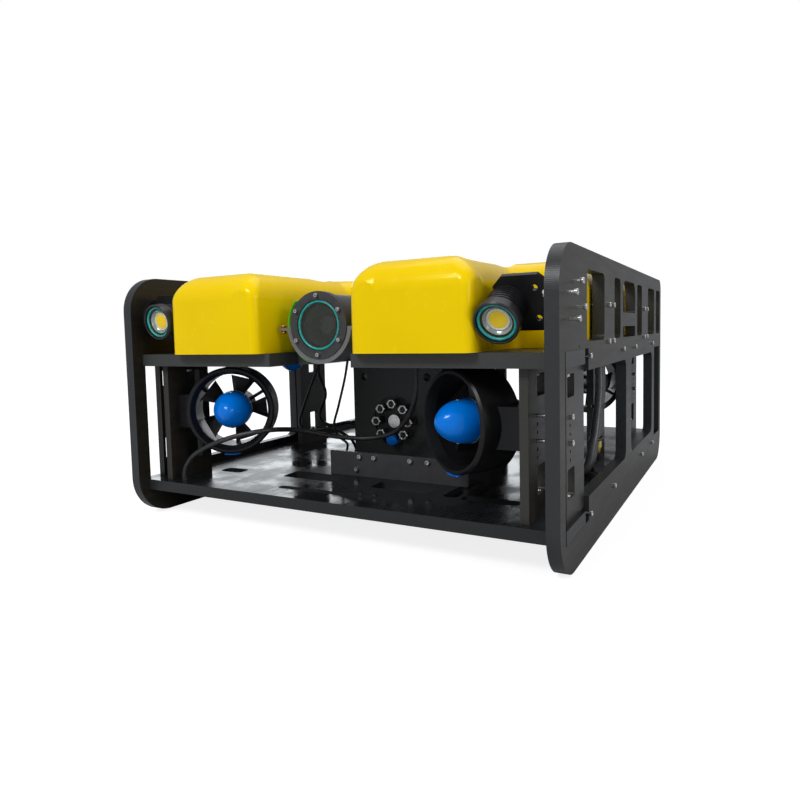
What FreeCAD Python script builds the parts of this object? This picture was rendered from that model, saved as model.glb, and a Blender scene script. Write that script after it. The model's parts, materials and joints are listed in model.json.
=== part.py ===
import FreeCAD, Part
import math
import os
import Sketcher

# Underwater inspection vehicle: an open frame of black boards between two side
# plates, two yellow floats on the upper deck, four vectored and two vertical
# ducted thrusters, a pressure hull between the decks, a camera pod and two
# tilting lights.  Millimetres and degrees.  Front is -Y, up is +Z, and the
# origin lies on the ground plane under the middle of the frame.

# --------------------------------------------------------------------------
# Driving sizes
# --------------------------------------------------------------------------

SIZES = {
    # side plates
    "overall_length": 774.0,
    "overall_width": 630.0,
    "overall_height": 350.0,
    "plate_thick": 15.0,
    "plate_front_radius": 50.0,
    "plate_low_radius": 56.0,
    "plate_rear_top_radius": 20.0,
    "plate_rear_low_radius": 50.0,
    # levels of the two decks
    "low_deck_level": 38.0,
    "low_deck_thick": 15.0,
    "bay_height": 168.0,
    "up_deck_thick": 17.0,
    "deck_setback": 17.0,
    "board_gap": 0.2,
    # deck tenons, measured from the ends of the plates
    "tenon_front": 24.0,
    "tenon_length": 86.0,
    "rear_tenon_start": 30.0,
    "rear_tenon_length": 71.0,
    # upper row of windows in the side plates
    "top_band": 22.0,
    "window_rise": 8.0,
    "window_radius": 8.0,
    "front_land": 120.0,
    "window_a": 98.0,
    "post_a": 67.0,
    "window_b": 45.0,
    "post_b": 21.0,
    "window_c": 107.0,
    "window_c_low": 16.0,
    "window_c_bar": 20.0,
    "window_c_radius": 18.0,
    "post_c": 20.0,
    "window_d": 50.0,
    "post_d": 70.0,
    "window_e": 80.0,
    "post_e": 25.0,
    "window_f": 54.0,
    # lower row of windows
    "rail_drop": 8.0,
    "sill_height": 66.0,
    "sill_radius": 14.0,
    "corner_start": 21.0,
    "corner_length": 106.0,
    "corner_radius": 0.5,
    "middle_post_start": 377.0,
    "middle_post": 46.0,
    "rear_post_start": 651.0,
    "rear_post": 30.0,
    "lanyard_hole": 1.6,
    "lanyard_start": 82.0,
    "lanyard_rise": 3.5,
    # leg boards between the decks
    "leg_thick": 10.0,
    "leg_width": 80.0,
    "outer_leg_inset": 5.5,
    "outer_leg_start": 46.5,
    "outer_slot_start": 5.0,
    "inner_leg_inset": 41.0,
    "inner_leg_start": 30.0,
    "inner_slot_start": 32.0,
    "mid_leg_start": 347.0,
    "leg_slot_width": 30.0,
    "leg_low_slot": 25.0,
    "leg_low_slot_height": 33.0,
    "leg_high_slot": 8.0,
    "leg_high_slot_height": 25.0,
    "leg_slot_radius": 3.0,
    "leg_hole_line": 63.0,
    "leg_hole_drop": 54.0,
    "leg_hole_pitch": 9.4,
    "leg_hole_count": 6,
    # cap screws and their nuts
    "screw_radius": 2.0,
    "screw_head_radius": 3.5,
    "screw_head_height": 4.0,
    "screw_clearance": 0.1,
    "screw_bite": 15.0,
    "nut_radius": 3.9,
    "nut_height": 3.2,
    "head_sink": 6.0,
    "sink_clearance": 0.5,
    "deck_screw_end": 259.0,
    "up_screw_front": 41.0,
    "up_screw_rear": 66.0,
    "low_screw_front": 110.0,
    "low_screw_rear": 134.0,
    "float_screw_front": 133.0,
    "float_screw_rear": 173.0,
    "float_screw_half": 14.5,
    "float_screw_rise": 5.0,
    "float_screw_step": 47.0,
    # floats
    "float_top_drop": 5.0,
    "float_side_gap": 4.0,
    "float_front_gap": 1.0,
    "float_end_gap": 19.0,
    "float_seam": 0.5,
    "camera_bay_half": 70.0,
    "camera_bay_end": 227.0,
    "light_bay_wall": 222.6,
    "light_bay_end": 149.0,
    "float_corner": 12.0,
    "float_rear_corner": 40.0,
    "float_edge": 36.0,
    "float_inner_corner": 10.0,
    "float_bore_gap": 1.5,
    # cut-outs of the decks
    "notch_half": 62.0,
    "notch_depth": 60.0,
    "tube_notch_half": 34.0,
    "tube_notch_depth": 190.0,
    "slot_radius": 8.0,
    # thrusters, measured along the axis from the tip of the nose
    "thrust_angle": 32.0,
    "nose_x": 161.0,
    "nose_start": 41.0,
    "nose_z": 155.0,
    "nose_length": 48.0,
    "nose_radius": 27.0,
    "nose_tip_radius": 6.5,
    "nose_taper": 36.0,
    "nose_round": 10.0,
    "nose_shoulder": 26.0,
    "duct_start": 21.0,
    "duct_length": 55.0,
    "duct_radius": 62.5,
    "duct_bore": 52.0,
    "duct_flare": 5.0,
    "duct_flare_length": 12.0,
    "duct_edge": 2.5,
    "blade_radius": 47.5,
    "blade_count": 5,
    "blade_root_chord": 18.0,
    "blade_tip_chord": 38.0,
    "blade_root_thick": 4.0,
    "blade_tip_thick": 2.4,
    "blade_root_pitch": 50.0,
    "blade_tip_pitch": 26.0,
    "hub_radius": 24.0,
    "hub_length": 14.0,
    "shaft_radius": 4.0,
    "shaft_length": 10.0,
    "shaft_fit": 0.08,
    "running_gap": 1.2,
    "pod_radius": 22.0,
    "pod_length": 58.0,
    "pod_taper": 6.0,
    "vane_count": 3,
    "vane_thick": 5.0,
    "vane_start": 4.0,
    "vane_chord": 9.0,
    "arm_reach": 36.0,
    "arm_width": 32.0,
    "arm_height": 48.0,
    "lift_x": 152.0,
    "lift_start": 179.0,
    "lift_tip_drop": 17.0,
    "lift_flange": 6.5,
    "lift_flange_thick": 4.0,
    "lift_gap": 0.6,
    # pressure hull and its bulkheads
    "hull_z": 125.0,
    "hull_radius": 44.5,
    "hull_wall": 4.0,
    "hull_half_length": 140.5,
    "hull_fit": 0.2,
    "bulkhead_half": 75.0,
    "bulkhead_face": 150.0,
    "bulkhead_thick": 10.0,
    "bulkhead_lip": 3.0,
    "bulkhead_opening": 38.5,
    "bulkhead_radius": 6.0,
    "peep_x": 55.0,
    "peep_rise": 140.0,
    "peep_radius": 6.0,
    "cap_flange": 6.0,
    "cap_plug": 16.0,
    "port_circle": 27.5,
    "port_count": 8,
    "port_stem": 4.0,
    "port_nut": 6.5,
    "port_nut_height": 6.0,
    "port_finger": 3.6,
    "port_finger_length": 20.0,
    "test_head": 8.5,
    "test_head_length": 12.0,
    "vent_stem": 5.0,
    "vent_radius": 10.0,
    "vent_height": 9.0,
    "gland_stem": 8.0,
    "gland_radius": 12.0,
    "gland_length": 34.0,
    "gland_bore": 4.5,
    "tray_drop": 8.0,
    "tray_half": 38.3,
    "tray_thick": 4.0,
    "tray_length": 230.0,
    "stack_half": 24.0,
    "stack_height": 30.0,
    "stack_length": 150.0,
    # camera pod
    "camera_z": 273.0,
    "camera_start": 39.0,
    "camera_tube_radius": 40.0,
    "camera_tube_wall": 7.0,
    "camera_tube_length": 150.0,
    "camera_tube_end": 8.0,
    "camera_flange_radius": 43.0,
    "camera_flange_length": 10.0,
    "camera_plug": 12.0,
    "camera_plug_bore": 26.0,
    "camera_plug_fit": 0.1,
    "camera_opening": 32.0,
    "camera_seat": 7.0,
    "camera_glass_radius": 28.4,
    "camera_glass_thick": 6.0,
    "camera_glass_setback": 1.0,
    "camera_ring_section": 1.7,
    "camera_screw_circle": 37.5,
    "camera_screw_count": 6,
    "camera_screw_radius": 1.5,
    "camera_screw_head": 2.75,
    "camera_screw_length": 20.0,
    "saddle_gap": 0.2,
    "saddle_wall": 6.0,
    "saddle_setback": 1.5,
    "saddle_length": 36.0,
    "ear_drop": 2.0,
    "ear_thick": 4.0,
    "ear_reach": 63.5,
    "ear_screw": 58.5,
    "ear_length": 52.0,
    "cradle_start": 39.0,
    "cradle_length": 60.0,
    "cradle_radius": 55.0,
    "cradle_fit": 0.2,
    "cradle_rise": 26.0,
    "cradle_foot": 64.5,
    "cradle_keel": 5.0,
    "cradle_foot_height": 8.0,
    "camera_pivot": 50.0,
    "camera_pin_radius": 2.5,
    "camera_pin_reach": 36.0,
    "camera_pin_fit": 0.08,
    "camera_block": 26.0,
    "camera_barrel_offset": 4.0,
    "camera_barrel_radius": 11.0,
    "camera_barrel_reach": 32.0,
    # lights
    "light_x": 248.0,
    "light_pivot_start": 47.0,
    "light_pivot_z": 290.8,
    "light_tilt_left": 9.0,
    "light_tilt_right": 28.9,
    "lens_front": 46.0,
    "lens_radius": 18.4,
    "lens_thick": 4.0,
    "lens_setback": 1.6,
    "bezel_radius": 25.0,
    "bezel_length": 13.0,
    "bezel_opening": 22.0,
    "bezel_edge": 1.2,
    "lamp_bore": 16.4,
    "lamp_depth": 7.0,
    "light_ring_section": 1.6,
    "led_board": 16.0,
    "led_board_thick": 1.5,
    "led_radius": 10.2,
    "led_thick": 2.0,
    "fin_radius": 22.5,
    "fin_root": 19.5,
    "fin_count": 7,
    "fin_pitch": 4.4,
    "fin_thick": 2.2,
    "tail_radius": 20.0,
    "tail_length": 36.0,
    "bracket_thick": 6.0,
    "bracket_half_height": 33.0,
    "bracket_inner": 13.0,
    "bracket_chamfer": 11.0,
    "bracket_fit": 0.1,
    "bracket_hole": 3.6,
    "bracket_hole_x": 32.0,
    "bracket_hole_rise": 18.0,
    "flange_gap": 0.3,
    "flange_thick": 5.0,
    "flange_radius": 28.0,
    "light_bolt_circle": 20.8,
    "light_bolt_turn_left": 32.0,
    "light_bolt_turn_right": 20.0,
    "light_bolt_stand": 8.0,
    "light_slot_sweep": 22.0,
    "light_slot_gap": 0.4,
    # payload rail on the lower deck
    "rail_left": 70.0,
    "rail_length": 220.0,
    "rail_start": 159.0,
    "rail_height": 35.0,
    "rail_foot": 38.0,
    "rail_thick": 4.0,
    "rail_end_radius": 18.0,
    "rail_screw_drop": 6.0,
    # threaded payload holes in the lower deck
    "mount_radius": 2.75,
    "mount_half_x": 100.0,
    "mount_half_y": 40.0,
    "mount_y": 30.0,
    # cable along the front of the bay
    "cable_radius": 3.5,
    "cable_entry": 12.0,
}

doc = FreeCAD.newDocument("inspection_vehicle")
sheet = doc.addObject("Spreadsheet::Sheet", "Sizes")
for row, (alias, number) in enumerate(SIZES.items(), start=1):
    sheet.set(f"A{row}", alias)
    sheet.set(f"B{row}", str(number))
    sheet.setAlias(f"B{row}", alias)
doc.recompute()


# --------------------------------------------------------------------------
# Sizes that carry both their number and the expression they are bound with
# --------------------------------------------------------------------------

class Size:
    """A number together with the sheet expression that gives it."""

    def __init__(self, value, text):
        self.value = float(value)
        self.text = text

    def __add__(self, other):
        other = as_size(other)
        return Size(self.value + other.value, f"({self.text} + {other.text})")

    def __sub__(self, other):
        other = as_size(other)
        return Size(self.value - other.value, f"({self.text} - {other.text})")

    def __mul__(self, other):
        other = as_size(other)
        return Size(self.value * other.value, f"({self.text} * {other.text})")

    def __truediv__(self, other):
        other = as_size(other)
        return Size(self.value / other.value, f"({self.text} / {other.text})")

    def __radd__(self, other):
        return as_size(other) + self

    def __rsub__(self, other):
        return as_size(other) - self

    def __rmul__(self, other):
        return as_size(other) * self

    def __neg__(self):
        return Size(-self.value, f"(0 - {self.text})")


def as_size(thing):
    """Wrap a plain number as a Size."""
    return thing if isinstance(thing, Size) else Size(thing, repr(float(thing)))


def size(alias):
    """The value of one cell of the sheet, tied to that cell."""
    return Size(sheet.get(alias), f"Sizes.{alias}")


def sine(angle):
    return Size(math.sin(math.radians(angle.value)), f"sin({angle.text} * 1 deg)")


def cosine(angle):
    return Size(math.cos(math.radians(angle.value)), f"cos({angle.text} * 1 deg)")


# --------------------------------------------------------------------------
# Small builders
# --------------------------------------------------------------------------

parts = {}


def bind(feature, path, value):
    feature.setExpression(path, as_size(value).text)


def place(feature, at=(0, 0, 0), rotation=None):
    """Turn a feature, then tie its position to the sheet."""
    if rotation is not None:
        feature.Placement = FreeCAD.Placement(FreeCAD.Vector(), rotation)
    for axis, value in zip("xyz", at):
        bind(feature, f"Placement.Base.{axis}", value)


def keep(label, feature):
    """Register a finished sub-part under the name of its file."""
    feature.Label = label
    parts[label] = feature
    return feature


def turn(axis, degrees):
    vectors = {"x": FreeCAD.Vector(1, 0, 0), "y": FreeCAD.Vector(0, 1, 0), "z": FreeCAD.Vector(0, 0, 1)}
    return FreeCAD.Rotation(vectors[axis], degrees)


def new_body(name, at=(0, 0, 0), rotation=None):
    body = doc.addObject("PartDesign::Body", name)
    place(body, at, rotation)
    return body


def new_sketch(body, role, name, offset=None, pitch=None):
    """A sketch on one of the body's own origin planes, lifted by offset and turned by pitch."""
    sketch = body.newObject("Sketcher::SketchObject", f"{body.Name}_{name}")
    plane = next(f for f in body.Origin.OriginFeatures if f.Role == role)
    sketch.AttachmentSupport = [(plane, "")]
    sketch.MapMode = "FlatFace"
    if pitch is not None:
        sketch.AttachmentOffset = FreeCAD.Placement(FreeCAD.Vector(), turn("z", pitch.value))
    if offset is not None:
        bind(sketch, "AttachmentOffset.Base.z", offset)
    return sketch


def bound(sketch, constraints):
    """Add (kind, references, size) constraints and tie each sized one to the sheet."""
    for kind, references, value in constraints:
        if value is None:
            sketch.addConstraint(Sketcher.Constraint(kind, *references))
        else:
            index = sketch.addConstraint(Sketcher.Constraint(kind, *references, as_size(value).value))
            bind(sketch, f"Constraints[{index}]", value)


def add_outline(sketch, points):
    """A closed outline of straight edges through the given (x, y) corners."""
    first = sketch.GeometryCount
    count = len(points)
    corners = [FreeCAD.Vector(as_size(x).value, as_size(y).value, 0) for x, y in points]
    for index in range(count):
        sketch.addGeometry(Part.LineSegment(corners[index], corners[(index + 1) % count]))
    rules = []
    for index, (x, y) in enumerate(points):
        previous = first + (index - 1) % count
        rules.append(("Coincident", (previous, 2, first + index, 1), None))
        rules.append(("DistanceX", (-1, 1, first + index, 1), x))
        rules.append(("DistanceY", (-1, 1, first + index, 1), y))
    bound(sketch, rules)


def add_window(sketch, left, right, low, high, radii):
    """A rectangle with rounded corners; radii run from the lower left, counter-clockwise."""
    if not isinstance(radii, tuple):
        radii = (radii,) * 4
    first = sketch.GeometryCount
    x0, x1, y0, y1 = (as_size(v).value for v in (left, right, low, high))
    r = [as_size(v).value for v in radii]
    ends = [((x0 + r[0], y0), (x1 - r[1], y0)), ((x1, y0 + r[1]), (x1, y1 - r[2])),
            ((x1 - r[2], y1), (x0 + r[3], y1)), ((x0, y1 - r[3]), (x0, y0 + r[0]))]
    centres = [(x1 - r[1], y0 + r[1]), (x1 - r[2], y1 - r[2]), (x0 + r[3], y1 - r[3]), (x0 + r[0], y0 + r[0])]
    for side in range(4):
        start, end = (FreeCAD.Vector(*p, 0) for p in ends[side])
        sketch.addGeometry(Part.LineSegment(start, end))
        circle = Part.Circle(FreeCAD.Vector(*centres[side], 0), FreeCAD.Vector(0, 0, 1), r[(side + 1) % 4])
        angle = math.radians(90 * (side - 1))
        sketch.addGeometry(Part.ArcOfCircle(circle, angle, angle + math.pi / 2))
    lines = [first + 2 * side for side in range(4)]
    arcs = [line + 1 for line in lines]
    rules = []
    for side in range(4):
        rules.append(("Horizontal" if side % 2 == 0 else "Vertical", (lines[side],), None))
        rules.append(("Tangent", (lines[side], 2, arcs[side], 1), None))
        rules.append(("Tangent", (arcs[side], 2, lines[(side + 1) % 4], 1), None))
        rules.append(("Radius", (arcs[side],), radii[(side + 1) % 4]))
    rules.append(("DistanceY", (-1, 1, lines[0], 1), low))
    rules.append(("DistanceX", (-1, 1, lines[1], 1), right))
    rules.append(("DistanceY", (-1, 1, lines[2], 1), high))
    rules.append(("DistanceX", (-1, 1, lines[3], 1), left))
    bound(sketch, rules)


def add_circle(sketch, x, y, radius):
    centre = FreeCAD.Vector(as_size(x).value, as_size(y).value, 0)
    index = sketch.addGeometry(Part.Circle(centre, FreeCAD.Vector(0, 0, 1), as_size(radius).value))
    bound(sketch, [("DistanceX", (-1, 1, index, 3), x), ("DistanceY", (-1, 1, index, 3), y),
                   ("Radius", (index,), radius)])


def pad(body, sketch, length):
    feature = body.newObject("PartDesign::Pad", f"{sketch.Name}_pad")
    feature.Profile = sketch
    bind(feature, "Length", length)
    sketch.Visibility = False
    return feature


def cut_through(body, sketch):
    """Cut a profile drawn on the body's starting plane right through the pad above it."""
    feature = body.newObject("PartDesign::Pocket", f"{sketch.Name}_cut")
    feature.Profile = sketch
    feature.Type = "ThroughAll"
    feature.Reversed = True
    return feature


def revolve(body, sketch):
    feature = body.newObject("PartDesign::Revolution", f"{sketch.Name}_turned")
    feature.Profile = sketch
    feature.ReferenceAxis = (sketch, ["V_Axis"])
    feature.Angle = 360.0
    return feature


def turned_body(name, profile, at=(0, 0, 0), rotation=None):
    """A body of revolution about its own Z axis from (radius, height) corners."""
    body = new_body(name, at, rotation)
    sketch = new_sketch(body, "XZ_Plane", "profile")
    add_outline(sketch, profile)
    revolve(body, sketch)
    return body


def box(name, lengths, at=(0, 0, 0), rotation=None):
    feature = doc.addObject("Part::Box", name)
    for path, value in zip(("Length", "Width", "Height"), lengths):
        bind(feature, path, value)
    place(feature, at, rotation)
    return feature


def cylinder(name, radius, height, at=(0, 0, 0), rotation=None):
    feature = doc.addObject("Part::Cylinder", name)
    bind(feature, "Radius", radius)
    bind(feature, "Height", height)
    place(feature, at, rotation)
    return feature


def torus(name, ring, section, at=(0, 0, 0), rotation=None):
    feature = doc.addObject("Part::Torus", name)
    bind(feature, "Radius1", ring)
    bind(feature, "Radius2", section)
    place(feature, at, rotation)
    return feature


def fuse(name, shapes):
    feature = doc.addObject("Part::MultiFuse", name)
    feature.Shapes = shapes
    feature.Refine = True
    return feature


def common(name, first, second):
    feature = doc.addObject("Part::Common", name)
    feature.Base = first
    feature.Tool = second
    return feature


def cut(name, base, tools):
    """Take one or more tools away from a base."""
    if len(tools) == 1:
        tool = tools[0]
    else:
        tool = doc.addObject("Part::Compound", f"{name}_tools")
        tool.Links = tools
    feature = doc.addObject("Part::Cut", name)
    feature.Base = base
    feature.Tool = tool
    return feature


FORWARD = turn("x", 90)      # turns +Z to the front, -Y
BACKWARD = turn("x", -90)    # turns +Z to the rear, +Y
OUTWARD = {"left": turn("y", -90), "right": turn("y", 90)}
SIDES = {"left": -1, "right": 1}
ENDS = {"front": -1, "rear": 1}

# --------------------------------------------------------------------------
# Places that several pieces share
# --------------------------------------------------------------------------

gap = size("board_gap")
half_length = size("overall_length") / 2
half_width = size("overall_width") / 2
inner_face = half_width - size("plate_thick")
low_top = size("low_deck_level") + size("low_deck_thick")
up_low = low_top + size("bay_height")
up_top = up_low + size("up_deck_thick")
float_low = up_top + gap
float_high = size("overall_height") - size("float_top_drop")
deck_end = half_length - size("deck_setback")
leg_hole_top = up_low - size("leg_hole_drop")
arm_bolt_heights = [leg_hole_top, leg_hole_top - 3 * size("leg_hole_pitch")]
hole_radius = size("screw_radius") + size("screw_clearance")
lift_y = size("lift_start") - half_length
light_pivot_y = size("light_pivot_start") - half_length
camera_y = size("camera_start") - half_length
ear_screw_y = camera_y + size("cradle_start") + 8
rail_feet = (-20, 20, 116)
upper_screw_rows = [-size("deck_screw_end"), -size("up_screw_front"), size("up_screw_rear"), size("deck_screw_end")]
lower_screw_rows = [-size("deck_screw_end"), -size("low_screw_front"), size("low_screw_rear"),
                    size("deck_screw_end")]
cable_points = [
    (70, -213, up_low + size("cable_entry")), (70, -213, 175), (52, -205, 138), (25, -203, 114),
    (-17, -205, 104), (-65, -225, 108), (-107, -260, 122), (-110, -320, 130), (-152, -345, 122),
    (-193, -352, 107.5), (-227, -352, 90), (-245, -351.5, 68), (-245, -351.5, low_top - size("cable_entry")),
]

# --------------------------------------------------------------------------
# Frame: side plates, decks and leg boards
# --------------------------------------------------------------------------

def side_plate(name, side):
    """A routed board on edge with its windows, the holes for its screws and the deck slots."""
    body = new_body(f"{name}_board", (inner_face if side > 0 else -half_width, 0, 0))
    outline = new_sketch(body, "YZ_Plane", "outline")
    radii = (size("plate_low_radius"), size("plate_rear_low_radius"),
             size("plate_rear_top_radius"), size("plate_front_radius"))
    add_window(outline, -half_length, half_length, 0, size("overall_height"), radii)
    pad(body, outline, size("plate_thick"))

    upper = new_sketch(body, "YZ_Plane", "upper_windows")
    high = size("overall_height") - size("top_band")
    low = up_top + size("window_rise")
    start = -half_length + size("front_land")
    for letter in "abcdef":
        end = start + size(f"window_{letter}")
        if letter == "c":
            bar = low + size("window_c_low")
            arch = (size("window_radius") / 2, size("window_radius") / 2,
                    size("window_c_radius"), size("window_c_radius"))
            add_window(upper, start, end, bar + size("window_c_bar"), high, arch)
            add_window(upper, start, end, low, bar, size("window_radius") / 2)
        else:
            add_window(upper, start, end, low, high, size("window_radius"))
        if letter != "f":
            start = end + size(f"post_{letter}")
    cut_through(body, upper)

    lower = new_sketch(body, "YZ_Plane", "lower_windows")
    head = up_low - size("rail_drop")
    sill = size("sill_height")
    radius = size("sill_radius")
    front = -half_length + size("corner_start")
    front_end = front + size("corner_length")
    post = -half_length + size("middle_post_start")
    rear_post = -half_length + size("rear_post_start")
    add_window(lower, front_end - radius * 2, post, sill, head, radius)
    add_window(lower, post + size("middle_post"), rear_post, sill, head, radius)
    cut_through(body, lower)

    corners = new_sketch(body, "YZ_Plane", "corner_windows")
    low_edge = size("low_deck_level") - gap
    high_edge = up_top + gap
    add_window(corners, front, front_end, low_edge, high_edge, size("corner_radius"))
    add_window(corners, rear_post + size("rear_post"), half_length - size("corner_start"),
               low_edge, high_edge, size("corner_radius"))
    cut_through(body, corners)

    holes = new_sketch(body, "YZ_Plane", "screw_holes")
    for y, z in deck_screws() + float_screws() + light_bolts(side):
        add_circle(holes, y, z, hole_radius)
    add_circle(holes, -half_length + size("lanyard_start"), up_top + size("lanyard_rise"), size("lanyard_hole"))
    cut_through(body, holes)
    keep(name, body)


def deck_outline(sketch, notch):
    """Deck with two tenons a side that end flush with the plates, and a notch for the camera."""
    inner = inner_face - gap
    front = -half_length + size("tenon_front")
    rear = -half_length + size("rear_post_start") + size("rear_post") + gap
    side = [(inner, -deck_end)]
    for start, length in ((front, size("tenon_length")), (rear, size("rear_tenon_length"))):
        side += [(inner, start), (half_width, start), (half_width, start + length), (inner, start + length)]
    side.append((inner, deck_end))
    points = side + [(-x, y) for x, y in reversed(side)]
    if notch:
        half = size("notch_half")
        depth = size("notch_depth") - deck_end
        slim = size("tube_notch_half")
        slim_depth = size("tube_notch_depth") - deck_end
        points += [(-half, -deck_end), (-half, depth), (-slim, depth), (-slim, slim_depth), (slim, slim_depth),
                   (slim, depth), (half, depth), (half, -deck_end)]
    add_outline(sketch, points)


def deck_tools(name, level, places):
    """Bores in a deck's edges for the screws that come through the plates."""
    length = size("screw_bite") + 2
    tools = []
    for side_name, side in SIDES.items():
        for y, z in places:
            x = inner_face - length if side > 0 else -(inner_face - length)
            tools.append(cylinder(f"{name}_bore", hole_radius, length, (x, y, z), OUTWARD[side_name]))
    return tools


def deck_board(name, level, thick, notch, windows, bores, screws, sink_side):
    """A routed deck: outline, windows, round bores, screw bores and sunk tie bolts."""
    body = new_body(f"{name}_board", (0, 0, level))
    outline = new_sketch(body, "XY_Plane", "outline")
    deck_outline(outline, notch)
    pad(body, outline, thick)
    inside = new_sketch(body, "XY_Plane", "windows")
    for left, right, start, end, radius in windows:
        add_window(inside, left, right, start, end, radius)
    for x, y, radius in bores:
        add_circle(inside, x, y, radius)
    for x, y in tie_bolts():
        add_circle(inside, x, y, hole_radius)
    cut_through(body, inside)
    sink_radius = size("screw_head_radius") + size("sink_clearance")
    sink_level = level + thick - size("head_sink") if sink_side > 0 else level
    tools = [cylinder(f"{name}_sink", sink_radius, size("head_sink"), (x, y, sink_level)) for x, y in tie_bolts()]
    tools += deck_tools(name, level, screws)
    keep(name, cut(f"{name}_cut", body, tools))


def leg_board(name, side, end, outer, start, slot_start, cable_side=0):
    """A board between the decks with slots for the nuts of its tie bolts and a line of holes."""
    x = outer - size("leg_thick") if side > 0 else -outer
    body = new_body(f"{name}_board", (x, 0, low_top))

    def along(distance, length):
        """The Y range of something that starts at a distance from the end of the plates."""
        near = -half_length + distance
        return (near, near + length) if end < 0 else (-(near + length), -near)

    outline = new_sketch(body, "YZ_Plane", "outline")
    add_window(outline, *along(start, size("leg_width")), 0, size("bay_height"), size("board_gap"))
    pad(body, outline, size("leg_thick"))
    slots = new_sketch(body, "YZ_Plane", "slots")
    spans = ((size("leg_low_slot"), size("leg_low_slot") + size("leg_low_slot_height")),
             (size("bay_height") - size("leg_high_slot") - size("leg_high_slot_height"),
              size("bay_height") - size("leg_high_slot")))
    for low, high in spans:
        add_window(slots, *along(start + slot_start, size("leg_slot_width")), low, high, size("leg_slot_radius"))
    if slot_start.value != size("leg_width").value / 2 - size("leg_slot_width").value / 2:
        y = end * (half_length - size("leg_hole_line"))
        for step in range(int(size("leg_hole_count").value)):
            add_circle(slots, y, leg_hole_top - low_top - step * size("leg_hole_pitch"), hole_radius)
    cut_through(body, slots)
    bores = [cylinder(f"{name}_bore", hole_radius, size("bay_height") + 2, (bx, by, low_top - 1))
             for bx, by in tie_bolts() if abs(bx.value - side * (outer.value - 5)) < 1
             and abs(by.value - sum(v.value for v in along(start + slot_start, size("leg_slot_width"))) / 2) < 1]
    keep(name, cut(f"{name}_cut", body, bores))


def deck_screws():
    """(y, z) of the screws that go into the edges of the decks."""
    upper = up_low + size("up_deck_thick") / 2
    lower = size("low_deck_level") + size("low_deck_thick") / 2
    return ([(y, upper) for y in upper_screw_rows] + [(y, lower) for y in lower_screw_rows])


def float_screws():
    """(y, z) of the screws that hold the floats."""
    places = []
    for centre in (-size("float_screw_front"), size("float_screw_rear")):
        for side in (-1, 1):
            for step in (0, 1):
                level = float_low + size("float_screw_rise") + step * size("float_screw_step")
                places.append((centre + side * size("float_screw_half"), level))
    return places


def light_bolts(side):
    """(y, z) of the four bolts on a circle round the pivot of the light on one side."""
    places = []
    turned = "light_bolt_turn_right" if side > 0 else "light_bolt_turn_left"
    for quarter in range(4):
        angle = size(turned) + 90 * quarter
        places.append((light_pivot_y + size("light_bolt_circle") * sine(angle),
                       size("light_pivot_z") + size("light_bolt_circle") * cosine(angle)))
    return places


def leg_places():
    """Name, side, end, outer face, start and slot start of every leg board."""
    outer = half_width - size("outer_leg_inset")
    inner = half_width - size("inner_leg_inset")
    mid_slot = (size("leg_width") - size("leg_slot_width")) / 2
    places = []
    for side_name, side in SIDES.items():
        places.append((f"outer_leg_{side_name}", side, -1, outer, size("outer_leg_start"), size("outer_slot_start")))
        places.append((f"mid_leg_{side_name}", side, -1, inner, size("mid_leg_start"), mid_slot))
        for end_name, end in ENDS.items():
            places.append((f"inner_leg_{end_name}_{side_name}", side, end, inner, size("inner_leg_start"),
                           size("inner_slot_start")))
    return places


def tie_bolts():
    """(x, y) of the bolts that tie each leg board to the decks, over the middle of its slots."""
    lines = []
    for _, side, end, outer, start, slot_start in leg_places():
        x = side * (outer - size("leg_thick") / 2)
        y = end * (half_length - start - slot_start - size("leg_slot_width") / 2)
        lines.append((x, y))
    return lines


def build_frame():
    for side_name, side in SIDES.items():
        side_plate(f"side_plate_{side_name}", side)
    lift_bore = size("duct_radius") + size("lift_gap")
    cable_bore = size("cable_radius") + size("screw_clearance")
    front = -deck_end
    slot = size("slot_radius")
    bores = [(side * size("lift_x"), lift_y, lift_bore) for side in (-1, 1)]
    bores.append((cable_points[0][0], cable_points[0][1], cable_bore))
    deck_board("upper_deck", up_low, size("up_deck_thick"), True, [], bores,
               [(y, up_low + size("up_deck_thick") / 2) for y in upper_screw_rows], 1)
    lower_windows = [
        (-126, -35, front + 95, front + 134, slot),
        (-88, 74, front + 36, front + 50, slot * 0.8),
        (28, 114, front + 90, front + 130, slot),
        (138, 158, front + 85, front + 148, slot),
        (164, 240, front + 80, front + 102, slot),
        (-243, -202, front + 87, front + 112, slot),
    ]
    bores = [(cable_points[-1][0], cable_points[-1][1], cable_bore)]
    bores += [(x, size("rail_start") - half_length + size("rail_foot") / 2, hole_radius) for x in rail_feet]
    for x in (-1, 1):
        for y in (-1, 1):
            bores.append((x * size("mount_half_x"), y * size("mount_half_y") - size("mount_y"), size("mount_radius")))
    deck_board("lower_deck", size("low_deck_level"), size("low_deck_thick"), False, lower_windows, bores,
               [(y, size("low_deck_level") + size("low_deck_thick") / 2) for y in lower_screw_rows], -1)
    for place_of_leg in leg_places():
        leg_board(*place_of_leg)


# --------------------------------------------------------------------------
# Floats
# --------------------------------------------------------------------------

def edges_of(shape, wanted):
    """Names of the edges of a shape that a test picks out."""
    return [f"Edge{i}" for i, edge in enumerate(shape.Edges, start=1) if wanted(edge)]


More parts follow.
